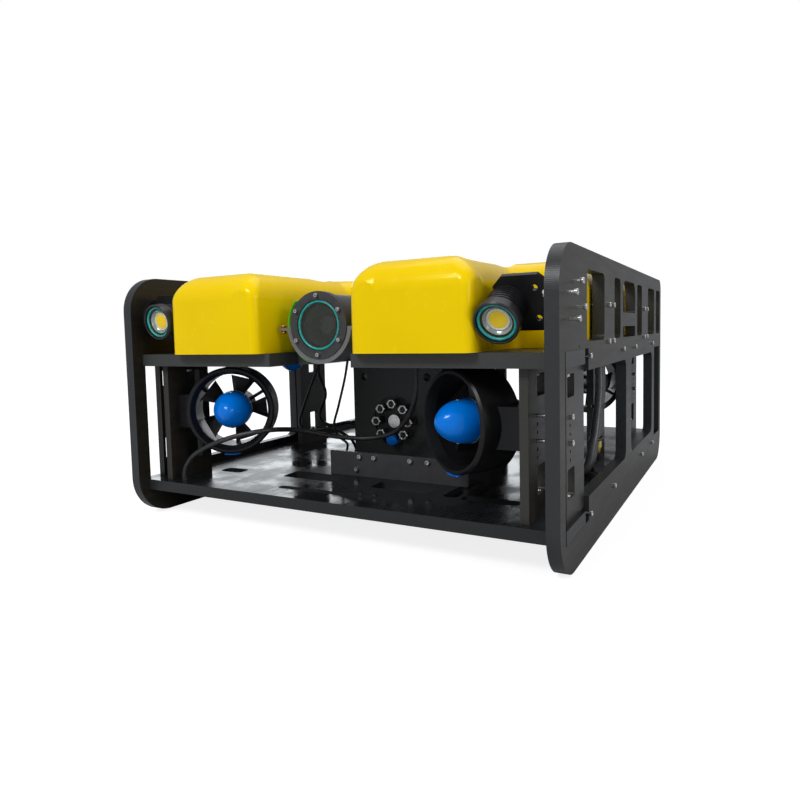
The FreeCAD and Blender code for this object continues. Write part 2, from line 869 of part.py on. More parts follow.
def float_edges(shape, rounds, seam):
    """(edge, radius, radius) of the upright corners and of every top edge but the one at the seam."""
    found = []
    crown = size("float_edge").value
    for index, edge in enumerate(shape.Edges, start=1):
        a, b = edge.Vertexes[0].Point, edge.Vertexes[-1].Point
        if abs(a.z - b.z) > 1:
            for (x, y), radius in rounds:
                if abs(a.x - x.value) < 0.1 and abs(a.y - y.value) < 0.1:
                    found.append((index, size(radius).value, size(radius).value))
        elif abs(a.z - float_high.value) < 0.1:
            if abs(a.x - seam.value) > 0.1 or abs(b.x - seam.value) > 0.1:
                found.append((index, crown, crown))
    return found


def float_half(name, side):
    """One moulded half: nose beside the camera, recess for the light, bore for the lift thruster."""
    body = new_body(f"{name}_block", (0, 0, float_low))
    outline = new_sketch(body, "XY_Plane", "outline")
    front = -(half_length - size("float_front_gap"))
    rear = half_length - size("float_end_gap")
    seam = side * size("float_seam") / 2
    bay = side * size("camera_bay_half")
    bay_end = size("camera_bay_end") - half_length
    wall = side * size("light_bay_wall")
    wall_end = size("light_bay_end") - half_length
    outer = side * (inner_face - size("float_side_gap"))
    points = [(seam, bay_end), (bay, bay_end), (bay, front), (wall, front), (wall, wall_end),
              (outer, wall_end), (outer, rear), (seam, rear)]
    add_outline(outline, points)
    pad(body, outline, float_high - float_low)
    doc.recompute()
    rounds = [((bay, front), "float_corner"), ((wall, front), "float_corner"), ((outer, wall_end), "float_corner"),
              ((outer, rear), "float_rear_corner"), ((wall, wall_end), "float_inner_corner"),
              ((bay, bay_end), "float_inner_corner")]
    rounded = doc.addObject("Part::Fillet", f"{name}_rounded")
    rounded.Base = body
    rounded.Edges = float_edges(body.Shape, rounds, seam)
    doc.recompute()
    centre = side * size("lift_x")
    through = float_high - float_low + 2
    bore_radius = size("duct_radius") + size("float_bore_gap")
    tools = [cylinder(f"{name}_bore", bore_radius, through, (centre, lift_y, float_low - 1))]
    flange_radius = size("duct_radius") + size("lift_flange") + size("lift_gap")
    tools.append(cylinder(f"{name}_seat", flange_radius, size("lift_flange_thick") + size("lift_gap") + 1,
                          (centre, lift_y, float_low - 1)))
    bite = size("screw_bite") + 8
    start = outer - side * bite
    way = OUTWARD["right" if side > 0 else "left"]
    for y, z in float_screws():
        tools.append(cylinder(f"{name}_screw", hole_radius, bite + 1, (start, y, z), way))
    keep(name, cut(f"{name}_cut", rounded, tools))


# --------------------------------------------------------------------------
# Thrusters
# --------------------------------------------------------------------------

def fillet_turned(body, last, radius_at, height_at, value, name):
    """Round the circular edge of a turned body that lies at a radius and a height."""
    doc.recompute()

    def wanted(edge):
        curve = edge.Curve
        return isinstance(curve, Part.Circle) and abs(curve.Radius - radius_at.value) < 0.01 \
            and abs(curve.Center.z - height_at.value) < 0.01
    fillet = body.newObject("PartDesign::Fillet", name)
    fillet.Base = (last, edges_of(last.Shape, wanted))
    bind(fillet, "Radius", value)
    return fillet


def thruster(name, tip, rotation, mount):
    """Nose, propeller and duct on one axis; heights run back from the tip of the nose."""
    nose_end = -size("nose_length")
    nose = new_body(f"{name}_nose_body", tip, rotation)
    profile = new_sketch(nose, "XZ_Plane", "profile")
    taper_end = -size("nose_taper")
    add_outline(profile, [(0, 0), (size("nose_tip_radius"), 0), (size("nose_radius"), taper_end),
                          (size("nose_radius"), nose_end), (0, nose_end)])
    last = revolve(nose, profile)
    last = fillet_turned(nose, last, size("nose_radius"), taper_end, size("nose_shoulder"), f"{name}_shoulder")
    fillet_turned(nose, last, size("nose_tip_radius"), as_size(0), size("nose_round"), f"{name}_tip")
    keep(f"{name}_nose_cone", nose)

    hub_end = nose_end - size("hub_length")
    bore = size("shaft_radius") + size("shaft_fit")
    bore_top = hub_end + size("shaft_length") + size("shaft_fit")
    hub = turned_body(f"{name}_hub", [(0, nose_end), (size("hub_radius"), nose_end), (size("hub_radius"), hub_end),
                                      (bore, hub_end), (bore, bore_top), (0, bore_top)], tip, rotation)
    doc.recompute()
    middle = nose_end - size("hub_length") / 2
    sections = []
    stations = ((size("hub_radius") - 3, "root"), (size("blade_radius"), "tip"))
    for station, which in stations:
        pitch = size(f"blade_{which}_pitch")
        half_chord = size(f"blade_{which}_chord") / 2
        half_thick = size(f"blade_{which}_thick") / 2
        section = new_sketch(hub, "YZ_Plane", f"blade_{which}", station, None)
        corners = [(-half_chord, 0), (-half_chord * 0.5, half_thick), (half_chord * 0.6, half_thick * 0.7),
                   (half_chord, 0), (half_chord * 0.6, -half_thick * 0.7), (-half_chord * 0.5, -half_thick)]
        turned = [(as_size(x) * cosine(pitch) - as_size(y) * sine(pitch),
                   as_size(x) * sine(pitch) + as_size(y) * cosine(pitch) + middle) for x, y in corners]
        add_outline(section, turned)
        sections.append(section)
    blade = hub.newObject("PartDesign::AdditiveLoft", f"{name}_blade")
    blade.Profile = sections[0]
    blade.Sections = [sections[1]]
    blade.Ruled = True
    ring = hub.newObject("PartDesign::PolarPattern", f"{name}_blades")
    ring.Originals = [blade]
    ring.Axis = (hub.Origin.OriginFeatures[2], [""])
    ring.Angle = 360.0
    ring.Occurrences = int(size("blade_count").value)
    hub.Tip = ring
    keep(f"{name}_propeller", hub)

    front = -size("duct_start")
    back = front - size("duct_length")
    outer = size("duct_radius")
    inner = size("duct_bore")
    edge = size("duct_edge")
    ring_body = turned_body(f"{name}_ring", [(inner + size("duct_flare"), front), (outer - edge, front),
                                             (outer, front - edge), (outer, back + edge), (outer - edge, back),
                                             (inner, back), (inner, front - size("duct_flare_length"))],
                            tip, rotation)
    pod_front = hub_end - size("running_gap")
    pod_back = pod_front - size("pod_length")
    pod = size("pod_radius")
    shaft = size("shaft_radius")
    pod_body = turned_body(f"{name}_pod", [(0, hub_end + size("shaft_length")), (shaft, hub_end + size("shaft_length")),
                                           (shaft, pod_front), (pod, pod_front),
                                           (pod, pod_back + size("pod_taper")), (pod - size("pod_taper"), pod_back),
                                           (0, pod_back)], tip, rotation)
    pieces = [ring_body, pod_body]
    vane_low = pod_front - size("vane_start") - size("vane_chord")
    count = int(size("vane_count").value)
    for index in range(count):
        vane = new_body(f"{name}_vane_{index}", tip, rotation.multiply(turn("z", 360 * index / count + 30)))
        sketch = new_sketch(vane, "XY_Plane", "section", vane_low)
        half = size("vane_thick") / 2
        add_outline(sketch, [(pod - 1, -half), (inner + 1, -half), (inner + 1, half), (pod - 1, half)])
        pad(vane, sketch, size("vane_chord"))
        pieces.append(vane)
    if mount == "lift":
        seat = -(up_top.value - tip[2].value)
        level = tip[2] - up_top
        flange = turned_body(f"{name}_flange", [(outer - 1, level - size("lift_flange_thick")),
                                                (outer + size("lift_flange"), level - size("lift_flange_thick")),
                                                (outer + size("lift_flange"), level), (outer - 1, level)],
                             tip, rotation)
        pieces.append(flange)
        duct = fuse(f"{name}_joined", pieces)
    else:
        side, end = mount
        leg_face = half_width - size("inner_leg_inset") - size("leg_thick")
        x = leg_face - size("arm_reach") if side > 0 else -leg_face
        y_mid = end * (half_length - size("leg_hole_line"))
        z_mid = (2 * leg_hole_top - 3 * size("leg_hole_pitch")) / 2
        block = box(f"{name}_arm", (size("arm_reach"), size("arm_width"), size("arm_height")),
                    (x, y_mid - size("arm_width") / 2, z_mid - size("arm_height") / 2))
        hollow = doc.addObject("Part::Cylinder", f"{name}_hollow")
        bind(hollow, "Radius", outer - edge)
        bind(hollow, "Height", size("duct_length") * 3)
        bind_placement = FreeCAD.Placement(FreeCAD.Vector(*(v.value for v in tip)), rotation)
        hollow.Placement = bind_placement.multiply(
            FreeCAD.Placement(FreeCAD.Vector(0, 0, back.value - size("duct_length").value), FreeCAD.Rotation()))
        bolts = []
        for z in arm_bolt_heights:
            start = x - 1 if side > 0 else -(leg_face - size("arm_reach") - 1)
            bolts.append(cylinder(f"{name}_bolt", hole_radius, size("arm_reach") + 2, (start, y_mid, z),
                                  OUTWARD["right" if side > 0 else "left"]))
        arm = cut(f"{name}_arm_cut", block, [hollow])
        joined = fuse(f"{name}_joined", pieces + [arm])
        duct = cut(f"{name}_drilled", joined, bolts)
    keep(f"{name}_duct", duct)


def build_thrusters():
    for end_name, end in ENDS.items():
        for side_name, side in SIDES.items():
            angle = end * side * size("thrust_angle").value
            rotation = turn("z", angle).multiply(FORWARD if end < 0 else BACKWARD)
            tip = (side * size("nose_x"), end * (half_length - size("nose_start")), size("nose_z"))
            thruster(f"thruster_{end_name}_{side_name}", tip, rotation, (side, end))
    for side_name, side in SIDES.items():
        tip = (side * size("lift_x"), lift_y, up_low - size("lift_tip_drop"))
        thruster(f"thruster_lift_{side_name}", tip, turn("x", 180), "lift")


# --------------------------------------------------------------------------
# Pressure hull between the decks
# --------------------------------------------------------------------------

def ports():
    """(x, z) of the penetrators round the hull axis."""
    count = int(size("port_count").value)
    return [(size("port_circle") * sine(as_size(360 * k / count)),
             size("port_circle") * cosine(as_size(360 * k / count))) for k in range(count)]


def build_hull():
    rotation = {"front": FORWARD, "rear": BACKWARD}
    radius = size("hull_radius")
    for end_name, end in ENDS.items():
        face = end * size("bulkhead_face")
        y = face if end < 0 else face - size("bulkhead_thick")
        board = box(f"bulkhead_{end_name}_board", (size("bulkhead_half") * 2, size("bulkhead_thick"),
                                                   size("bay_height")), (-size("bulkhead_half"), y, low_top))
        opening = cylinder(f"bulkhead_{end_name}_opening", size("bulkhead_opening"), size("bulkhead_thick") + 2,
                           (0, face - end * (size("bulkhead_thick") + 1), size("hull_z")), rotation[end_name])
        seat = cylinder(f"bulkhead_{end_name}_seat", radius + size("hull_fit"), size("bulkhead_thick"),
                        (0, face - end * (size("bulkhead_thick") + size("bulkhead_lip")), size("hull_z")),
                        rotation[end_name])
        peeps = [cylinder(f"bulkhead_{end_name}_peep", size("peep_radius"), size("bulkhead_thick") + 2,
                          (x * size("peep_x"), face - end * (size("bulkhead_thick") + 1),
                           low_top + size("peep_rise")), rotation[end_name]) for x in (-1, 1)]
        keep(f"bulkhead_{end_name}", cut(f"bulkhead_{end_name}_cut", board, [opening, seat] + peeps))
        seat_face = size("bulkhead_face") - size("bulkhead_lip") - size("hull_fit")
        plug_radius = radius - size("hull_wall") - size("hull_fit")
        flange_back = seat_face - size("cap_flange")
        cap = turned_body(f"hull_cap_{end_name}_body",
                          [(0, seat_face), (radius, seat_face), (radius, flange_back), (plug_radius, flange_back),
                           (plug_radius, flange_back - size("cap_plug")), (0, flange_back - size("cap_plug"))],
                          (0, 0, size("hull_z")), rotation[end_name])
        length = size("cap_flange") + size("cap_plug") + 2
        stem = size("port_stem") + size("screw_clearance")
        start = seat_face - length + 1
        if end < 0:
            tools = [cylinder("cap_port", stem, length, (x, -start, size("hull_z") + z), FORWARD)
                     for x, z in ports()]
            tools.append(cylinder("cap_vent", size("vent_stem") + size("screw_clearance"), length,
                                  (0, -start, size("hull_z")), FORWARD))
        else:
            tools = [cylinder("cap_gland", size("gland_stem") + size("screw_clearance"), length,
                              (0, start, size("hull_z")), BACKWARD)]
        keep(f"hull_cap_{end_name}", cut(f"hull_cap_{end_name}_cut", cap, tools))
    half = seat_face - size("cap_flange")
    tube = turned_body("hull_tube_body", [(radius - size("hull_wall"), -half), (radius, -half), (radius, half),
                                          (radius - size("hull_wall"), half)], (0, 0, size("hull_z")), FORWARD)
    keep("hull_tube", tube)

    board = box("tray_board", (size("tray_half") * 2, size("tray_length"), size("tray_thick")),
                (-size("tray_half"), -size("tray_length") / 2, size("hull_z") - size("tray_drop")
                 - size("tray_thick")))
    stack = box("tray_stack", (size("stack_half") * 2, size("stack_length"), size("stack_height")),
                (-size("stack_half"), -size("stack_length") / 2, size("hull_z") - size("tray_drop")))
    keep("electronics_tray", fuse("electronics_tray_joined", [board, stack]))

    stem_end = seat_face - size("cap_flange") - size("cap_plug")
    solids = []
    for index, (x, z) in enumerate(ports()):
        test = index == int(size("port_count").value) // 2
        head = size("test_head") if test else size("port_nut")
        head_height = size("test_head_length") if test else size("port_nut_height")
        profile = [(0, stem_end), (size("port_stem"), stem_end), (size("port_stem"), seat_face),
                   (head, seat_face), (head, seat_face + head_height)]
        if not test:
            profile += [(size("port_finger"), seat_face + head_height),
                        (size("port_finger"), seat_face + size("port_finger_length")),
                        (0, seat_face + size("port_finger_length"))]
        else:
            profile.append((0, seat_face + head_height))
        solids.append(turned_body(f"port_{index}", profile, (x, 0, size("hull_z") + z), FORWARD))
    gland = [(size("gland_bore"), stem_end), (size("gland_stem"), stem_end), (size("gland_stem"), seat_face),
             (size("gland_radius"), seat_face), (size("gland_radius"), seat_face + size("gland_length")),
             (size("gland_bore"), seat_face + size("gland_length"))]
    solids.append(turned_body("tether_gland", gland, (0, 0, size("hull_z")), BACKWARD))
    group = doc.addObject("Part::Compound", "penetrators_group")
    group.Links = solids
    keep("penetrators", group)

    vent = turned_body("vent_plug_body", [(0, stem_end), (size("vent_stem"), stem_end), (size("vent_stem"), seat_face),
                                          (size("vent_radius"), seat_face),
                                          (size("vent_radius"), seat_face + size("vent_height")),
                                          (0, seat_face + size("vent_height"))], (0, 0, size("hull_z")), FORWARD)
    keep("vent_plug", vent)


# --------------------------------------------------------------------------
# Camera pod
# --------------------------------------------------------------------------

def build_camera():
    at = (0, camera_y, size("camera_z"))
    tube_radius = size("camera_tube_radius")
    tube_bore = tube_radius - size("camera_tube_wall")
    flange_back = -size("camera_flange_length")
    tube_back = flange_back - size("camera_tube_length")
    tube = turned_body("camera_tube_body", [(tube_bore, flange_back), (tube_radius, flange_back),
                                            (tube_radius, tube_back), (0, tube_back),
                                            (0, tube_back + size("camera_tube_end")),
                                            (tube_bore, tube_back + size("camera_tube_end"))], at, FORWARD)
    pin = size("camera_pin_radius")
    reach = size("camera_pin_reach")
    pin_y = camera_y + size("camera_pivot")
    pin_bore = cylinder("camera_pin_bore", pin + size("camera_pin_fit"), 2 * (reach + size("camera_pin_fit")),
                        (-(reach + size("camera_pin_fit")), pin_y, size("camera_z")), OUTWARD["right"])
    screw_bores = []
    flange_bores = []
    for x, z in camera_screws():
        screw_bores.append(cylinder("camera_tap", size("camera_screw_radius") + size("screw_clearance"),
                                    size("camera_screw_length"), (x, camera_y + size("camera_screw_length") + 1, z),
                                    FORWARD))
    for x, z in camera_screws():
        flange_bores.append(cylinder("camera_bore", size("camera_screw_radius") + size("screw_clearance"),
                                     size("camera_screw_length"), (x, camera_y + size("camera_screw_length") - 1, z),
                                     FORWARD))
    keep("camera_tube", cut("camera_tube_cut", tube, [pin_bore] + screw_bores))

    plug = tube_bore - size("camera_plug_fit")
    seat = -size("camera_seat")
    plug_back = flange_back - size("camera_plug")
    flange = turned_body("camera_flange_body", [(size("camera_opening"), 0), (size("camera_flange_radius"), 0),
                                                (size("camera_flange_radius"), flange_back), (plug, flange_back),
                                                (plug, plug_back), (size("camera_plug_bore"), plug_back),
                                                (size("camera_plug_bore"), seat), (size("camera_opening"), seat)],
                         at, FORWARD)
    keep("camera_flange", cut("camera_flange_cut", flange, flange_bores))

    glass_back = -size("camera_glass_setback") - size("camera_glass_thick")
    keep("camera_window", cylinder("camera_glass", size("camera_glass_radius"), size("camera_glass_thick"),
                                   (0, camera_y - glass_back, size("camera_z")), FORWARD))
    ring = (size("camera_glass_radius") + size("camera_opening")) / 2
    section = size("camera_ring_section")
    keep("camera_o_ring", torus("camera_ring", ring, section,
                                (0, camera_y + size("camera_glass_setback") + section, size("camera_z")), FORWARD))

    inner = size("camera_flange_radius") + size("saddle_gap")
    outer = inner + size("saddle_wall")
    back = -(size("saddle_setback") + size("saddle_length"))
    band = turned_body("saddle_band", [(inner, back), (outer, back), (outer, -size("saddle_setback")),
                                       (inner, -size("saddle_setback"))], at, FORWARD)
    ear_top = size("camera_z") - size("ear_drop")
    depth = size("saddle_length")
    lower = box("saddle_lower", (4 * inner, depth + 10, 2 * inner),
                (-2 * inner, camera_y + size("saddle_setback") - 5, ear_top - 2 * inner))
    half_ring = common("saddle_half", band, lower)
    ears = []
    tools = []
    for side in (-1, 1):
        start = inner + 1
        x = start if side > 0 else -size("ear_reach")
        ears.append(box("saddle_ear", (size("ear_reach") - start, size("ear_length"), size("ear_thick")),
                        (x, camera_y + size("saddle_setback"), ear_top - size("ear_thick"))))
        tools.append(cylinder("ear_bore", hole_radius, size("ear_thick") + 2,
                              (side * size("ear_screw"), ear_screw_y, ear_top - size("ear_thick") - 1)))
    joined = fuse("saddle_joined", [half_ring] + ears)
    keep("camera_saddle", cut("camera_saddle_cut", joined, tools))

    start = camera_y + size("cradle_start")
    length = size("cradle_length")
    radius = size("cradle_radius")
    shoulder = ear_top - size("ear_thick")
    base = box("cradle_base", (2 * radius, length, size("camera_z") - up_top), (-radius, start, up_top))
    foot = box("cradle_sole", (2 * size("cradle_foot"), length, size("cradle_foot_height")),
               (-size("cradle_foot"), start, up_top))
    arch = cylinder("cradle_arch", radius, length, (0, start + length, size("camera_z")), FORWARD)
    lugs = [box("cradle_lug", (12, 16, shoulder - up_top),
                (side * size("ear_screw") - 6, start, up_top)) for side in (-1, 1)]
    below = box("cradle_below", (4 * radius, length + 2, radius), (-2 * radius, start - 1, up_top - radius))
    keel = cylinder("cradle_keel", tube_radius + size("cradle_fit") + size("cradle_keel"), length,
                    (0, start + length, size("camera_z")), FORWARD)
    block = fuse("cradle_block", [base, foot, cut("cradle_arch_cut", arch, [below]), keel] + lugs)
    bore = cylinder("cradle_bore", tube_radius + size("cradle_fit"), length + 2,
                    (0, start + length + 1, size("camera_z")), FORWARD)
    above = box("cradle_above", (4 * radius, length + 2, radius),
                (-2 * radius, start - 1, size("camera_z") + size("cradle_rise")))
    relief = [box("cradle_relief", (4 * radius, 18, radius), (-2 * radius, start - 1, shoulder))]
    taps = [cylinder("cradle_tap", hole_radius, size("screw_bite") + 2,
                     (side * size("ear_screw"), ear_screw_y, shoulder - size("screw_bite"))) for side in (-1, 1)]
    keep("camera_cradle", cut("camera_cradle_cut", block, [bore, above] + relief + taps))

    block_half = size("camera_block") / 2
    core = box("module_block", (size("camera_block"),) * 3,
               (-block_half, pin_y - block_half, size("camera_z") - block_half))
    barrel = cylinder("module_barrel", size("camera_barrel_radius"), size("camera_barrel_reach"),
                      (size("camera_barrel_offset") / 2, pin_y, size("camera_z")), FORWARD)
    pins = cylinder("module_pins", pin, 2 * reach, (-reach, pin_y, size("camera_z")), OUTWARD["right"])
    keep("camera_module", fuse("camera_module_joined", [core, barrel, pins]))


def camera_screws():
    """(x, z) of the screws in the face of the camera flange, one at the top."""
    count = int(size("camera_screw_count").value)
    return [(size("camera_screw_circle") * sine(as_size(360 * k / count)),
             size("camera_z") + size("camera_screw_circle") * cosine(as_size(360 * k / count)))
            for k in range(count)]


# --------------------------------------------------------------------------
# Lights
# --------------------------------------------------------------------------

def build_light(side_name, side):
    """A light aimed nose-down about the X axis through its pivot; heights run along its beam."""
    name = f"light_{side_name}"
    at = (side * size("light_x"), light_pivot_y, size("light_pivot_z"))
    tilt = size(f"light_tilt_{side_name}")
    aim = turn("x", 90 + tilt.value)
    lens_face = size("lens_front")
    bezel_face = lens_face + size("lens_setback")
    bezel_back = bezel_face - size("bezel_length")
    seat = lens_face - size("lens_thick")
    well = seat - size("lamp_depth")
    edge = size("bezel_edge")
    bezel = size("bezel_radius")
    profile = [(0, well), (size("lamp_bore"), well), (size("lamp_bore"), seat), (size("bezel_opening"), seat),
               (size("bezel_opening"), bezel_face), (bezel - edge, bezel_face), (bezel, bezel_face - edge),
               (bezel, bezel_back)]
    level = bezel_back
    for _ in range(int(size("fin_count").value)):
        groove = size("fin_pitch") - size("fin_thick")
        profile += [(size("fin_root"), level), (size("fin_root"), level - groove),
                    (size("fin_radius"), level - groove), (size("fin_radius"), level - size("fin_pitch"))]
        level = level - size("fin_pitch")
    tail_end = level - size("tail_length")
    profile += [(size("tail_radius"), level), (size("tail_radius"), tail_end), (0, tail_end)]
    keep(f"{name}_housing", turned_body(f"{name}_housing_body", profile, at, aim))

    lens = turned_body(f"{name}_lens_body", [(0, seat), (size("lens_radius"), seat), (size("lens_radius"), lens_face),
                                             (0, lens_face)], at, aim)
    keep(f"{name}_lens", lens)
    board_top = well + size("led_board_thick")
    led = turned_body(f"{name}_led_body", [(0, well), (size("led_board"), well), (size("led_board"), board_top),
                                           (size("led_radius"), board_top),
                                           (size("led_radius"), board_top + size("led_thick")),
                                           (0, board_top + size("led_thick"))], at, aim)
    keep(f"{name}_led", led)
    ring = (size("lens_radius") + size("bezel_opening")) / 2
    section = size("light_ring_section")
    o_ring = new_body(f"{name}_ring_body", at, aim)
    sketch = new_sketch(o_ring, "XZ_Plane", "section")
    add_circle(sketch, ring, seat + section, section)
    revolve(o_ring, sketch)
    keep(f"{name}_o_ring", o_ring)

    bracket = new_body(f"{name}_bracket_body", at, aim)
    front = new_sketch(bracket, "XY_Plane", "face", level - size("bracket_thick"))
    flange_out = inner_face - size("flange_gap") - size("light_x")
    flange_in = flange_out - size("flange_thick")
    half = size("bracket_half_height")
    cut_corner = size("bracket_chamfer")
    inner = -size("bracket_inner")
    outer = flange_in + 1
    points = [(inner, -half + cut_corner), (inner + cut_corner, -half), (outer - cut_corner, -half),
              (outer, -half + cut_corner), (outer, half - cut_corner), (outer - cut_corner, half),
              (inner + cut_corner, half), (inner, half - cut_corner)]
    add_outline(front, [(side * x, y) for x, y in points])
    for way in (-1, 1):
        add_circle(front, side * size("bracket_hole_x"), way * size("bracket_hole_rise"), size("bracket_hole"))
    pad(bracket, front, size("bracket_thick"))
    flange = cylinder(f"{name}_cheek", size("flange_radius"), size("flange_thick"), at,
                      OUTWARD["right" if side > 0 else "left"])
    place(flange, (side * (size("light_x") + flange_in), light_pivot_y, size("light_pivot_z")),
          OUTWARD["right" if side > 0 else "left"])
    tail = size("tail_length")
    tail_start = (at[0], at[1] + tail * cosine(tilt), at[2] + tail * sine(tilt))
    body_bore = cylinder(f"{name}_clamp", size("tail_radius") + size("bracket_fit"), tail * 1.5, tail_start, aim)
    slots = []
    for y, z in light_bolts(side):
        slots.append(arc_slot(f"{name}_slot", side, y.value, z.value, flange_in.value))
    joined = fuse(f"{name}_bracket_joined", [bracket, flange])
    keep(f"{name}_bracket", cut(f"{name}_bracket_cut", joined, [body_bore] + slots))


def arc_slot(name, side, y, z, flange_in):
    """A slot along the bolt circle, swept both ways from a bolt at y, z."""
    circle = size("light_bolt_circle").value
    half_width_slot = size("screw_radius").value + size("light_slot_gap").value
    sweep = math.radians(size("light_slot_sweep").value)
    pivot_y = light_pivot_y.value
    pivot_z = size("light_pivot_z").value
    start = math.atan2(z - pivot_z, y - pivot_y)
    x = side * (size("light_x").value + flange_in)
    thick = side * size("flange_thick").value

    def point(angle, radius):
        return FreeCAD.Vector(x - side, pivot_y + radius * math.cos(angle), pivot_z + radius * math.sin(angle))

    low, high = start - sweep, start + sweep
    outer_radius = circle + half_width_slot
    inner_radius = circle - half_width_slot
    over = half_width_slot / circle

    def cap_point(angle):
        return point(angle, circle)

    edges = [Part.Arc(point(low, outer_radius), point(start, outer_radius), point(high, outer_radius)),
             Part.Arc(point(high, outer_radius), cap_point(high + over), point(high, inner_radius)),
             Part.Arc(point(high, inner_radius), point(start, inner_radius), point(low, inner_radius)),
             Part.Arc(point(low, inner_radius), cap_point(low - over), point(low, outer_radius))]
    wire = Part.Wire([edge.toShape() for edge in edges])
    feature = doc.addObject("Part::Feature", name)
    feature.Shape = Part.Face(wire).extrude(FreeCAD.Vector(thick + 2 * side, 0, 0))
    return feature


# --------------------------------------------------------------------------
# Payload rail, cable and screws
# --------------------------------------------------------------------------

def build_rail():
    y = size("rail_start") - half_length
    body = new_body("rail_body", (0, y + size("rail_thick"), low_top))
    face = new_sketch(body, "XZ_Plane", "face")
    left = -size("rail_left")
    right = left + size("rail_length")
    small = size("board_gap")
    add_window(face, left, right, 0, size("rail_height"), (small, small, size("rail_end_radius"), small))
    for x, drop in rail_screws():
        add_circle(face, x, size("rail_height") - drop, hole_radius)
    pad(body, face, size("rail_thick"))
    foot = box("rail_foot_board", (size("rail_length") - size("rail_end_radius"), size("rail_foot"),
                                   size("rail_thick")), (left, y + size("rail_thick") - 1, low_top))
    taps = [cylinder("rail_tap", hole_radius, size("rail_thick") + 2, (x, y + size("rail_foot") / 2, low_top - 1))
            for x in rail_feet]
    joined = fuse("rail_joined", [body, foot])
    keep("payload_rail", cut("payload_rail_cut", joined, taps))


def rail_screws():
    """(x, drop from the top edge) of the screws shown in the face of the rail."""
    drop = size("rail_screw_drop")
    return [(x, drop) for x in (-18, 6.5, 65, 92)] + [(-24, size("rail_height") - drop - 4)]


def rounded_path(points):
    """One wire of straight runs joined by tangent arcs, and the radii of the arcs."""
    vectors = [FreeCAD.Vector(*(as_size(v).value for v in p)) for p in points]
    edges = []
    radii = []
    last = vectors[0]
    for before, corner, after in zip(vectors, vectors[1:], vectors[2:]):
        back = (before - corner)
        ahead = (after - corner)
        half_turn = (math.pi - back.getAngle(ahead)) / 2
        trim = 0.45 * min(back.Length, ahead.Length)
        radius = trim / math.tan(half_turn)
        radii.append(radius)
        back.normalize()
        ahead.normalize()
        start = corner + back * trim
        end = corner + ahead * trim
        middle_way = (back + ahead).normalize()
        middle = corner + middle_way * (radius / math.cos(half_turn) - radius)
        edges.append(Part.LineSegment(last, start).toShape())
        edges.append(Part.Arc(start, middle, end).toShape())
        last = end
    edges.append(Part.LineSegment(last, vectors[-1]).toShape())
    return Part.Wire(edges), radii


def build_cable():
    path, radii = rounded_path(cable_points)
    radius = size("cable_radius").value
    start = path.Edges[0]
    way = start.tangentAt(start.FirstParameter)
    ring = Part.Wire(Part.Circle(start.valueAt(start.FirstParameter), way, radius).toShape())
    shape = path.makePipeShell([ring], True, False)
    expected = math.pi * radius ** 2 * path.Length
    print("cable radii", [round(r, 1) for r in radii], "volume", round(shape.Volume), round(expected))
    feature = doc.addObject("Part::Feature", "cable_solid")
    feature.Shape = shape
    keep("cable", feature)


def screw(x, y, z, way, length, radius=None, head=None, nut_at=None):
    """A cap screw whose head sits on the point and whose shank runs back against its way."""
    radius = radius or size("screw_radius")
    head = head or size("screw_head_radius")
    point = FreeCAD.Vector(*(as_size(v).value for v in (x, y, z)))
    along = FreeCAD.Vector(*way)
    length = as_size(length).value
    shape = Part.makeCylinder(head.value, size("screw_head_height").value, point, along)
    shank = Part.makeCylinder(radius.value, length, point - along * length, along)
    shape = shape.fuse(shank)
    if nut_at is not None:
        start = point - along * (as_size(nut_at).value + size("nut_height").value)
        nut = Part.makeCylinder(size("nut_radius").value, size("nut_height").value, start, along)
        shape = shape.fuse(nut)
    return shape.removeSplitter()


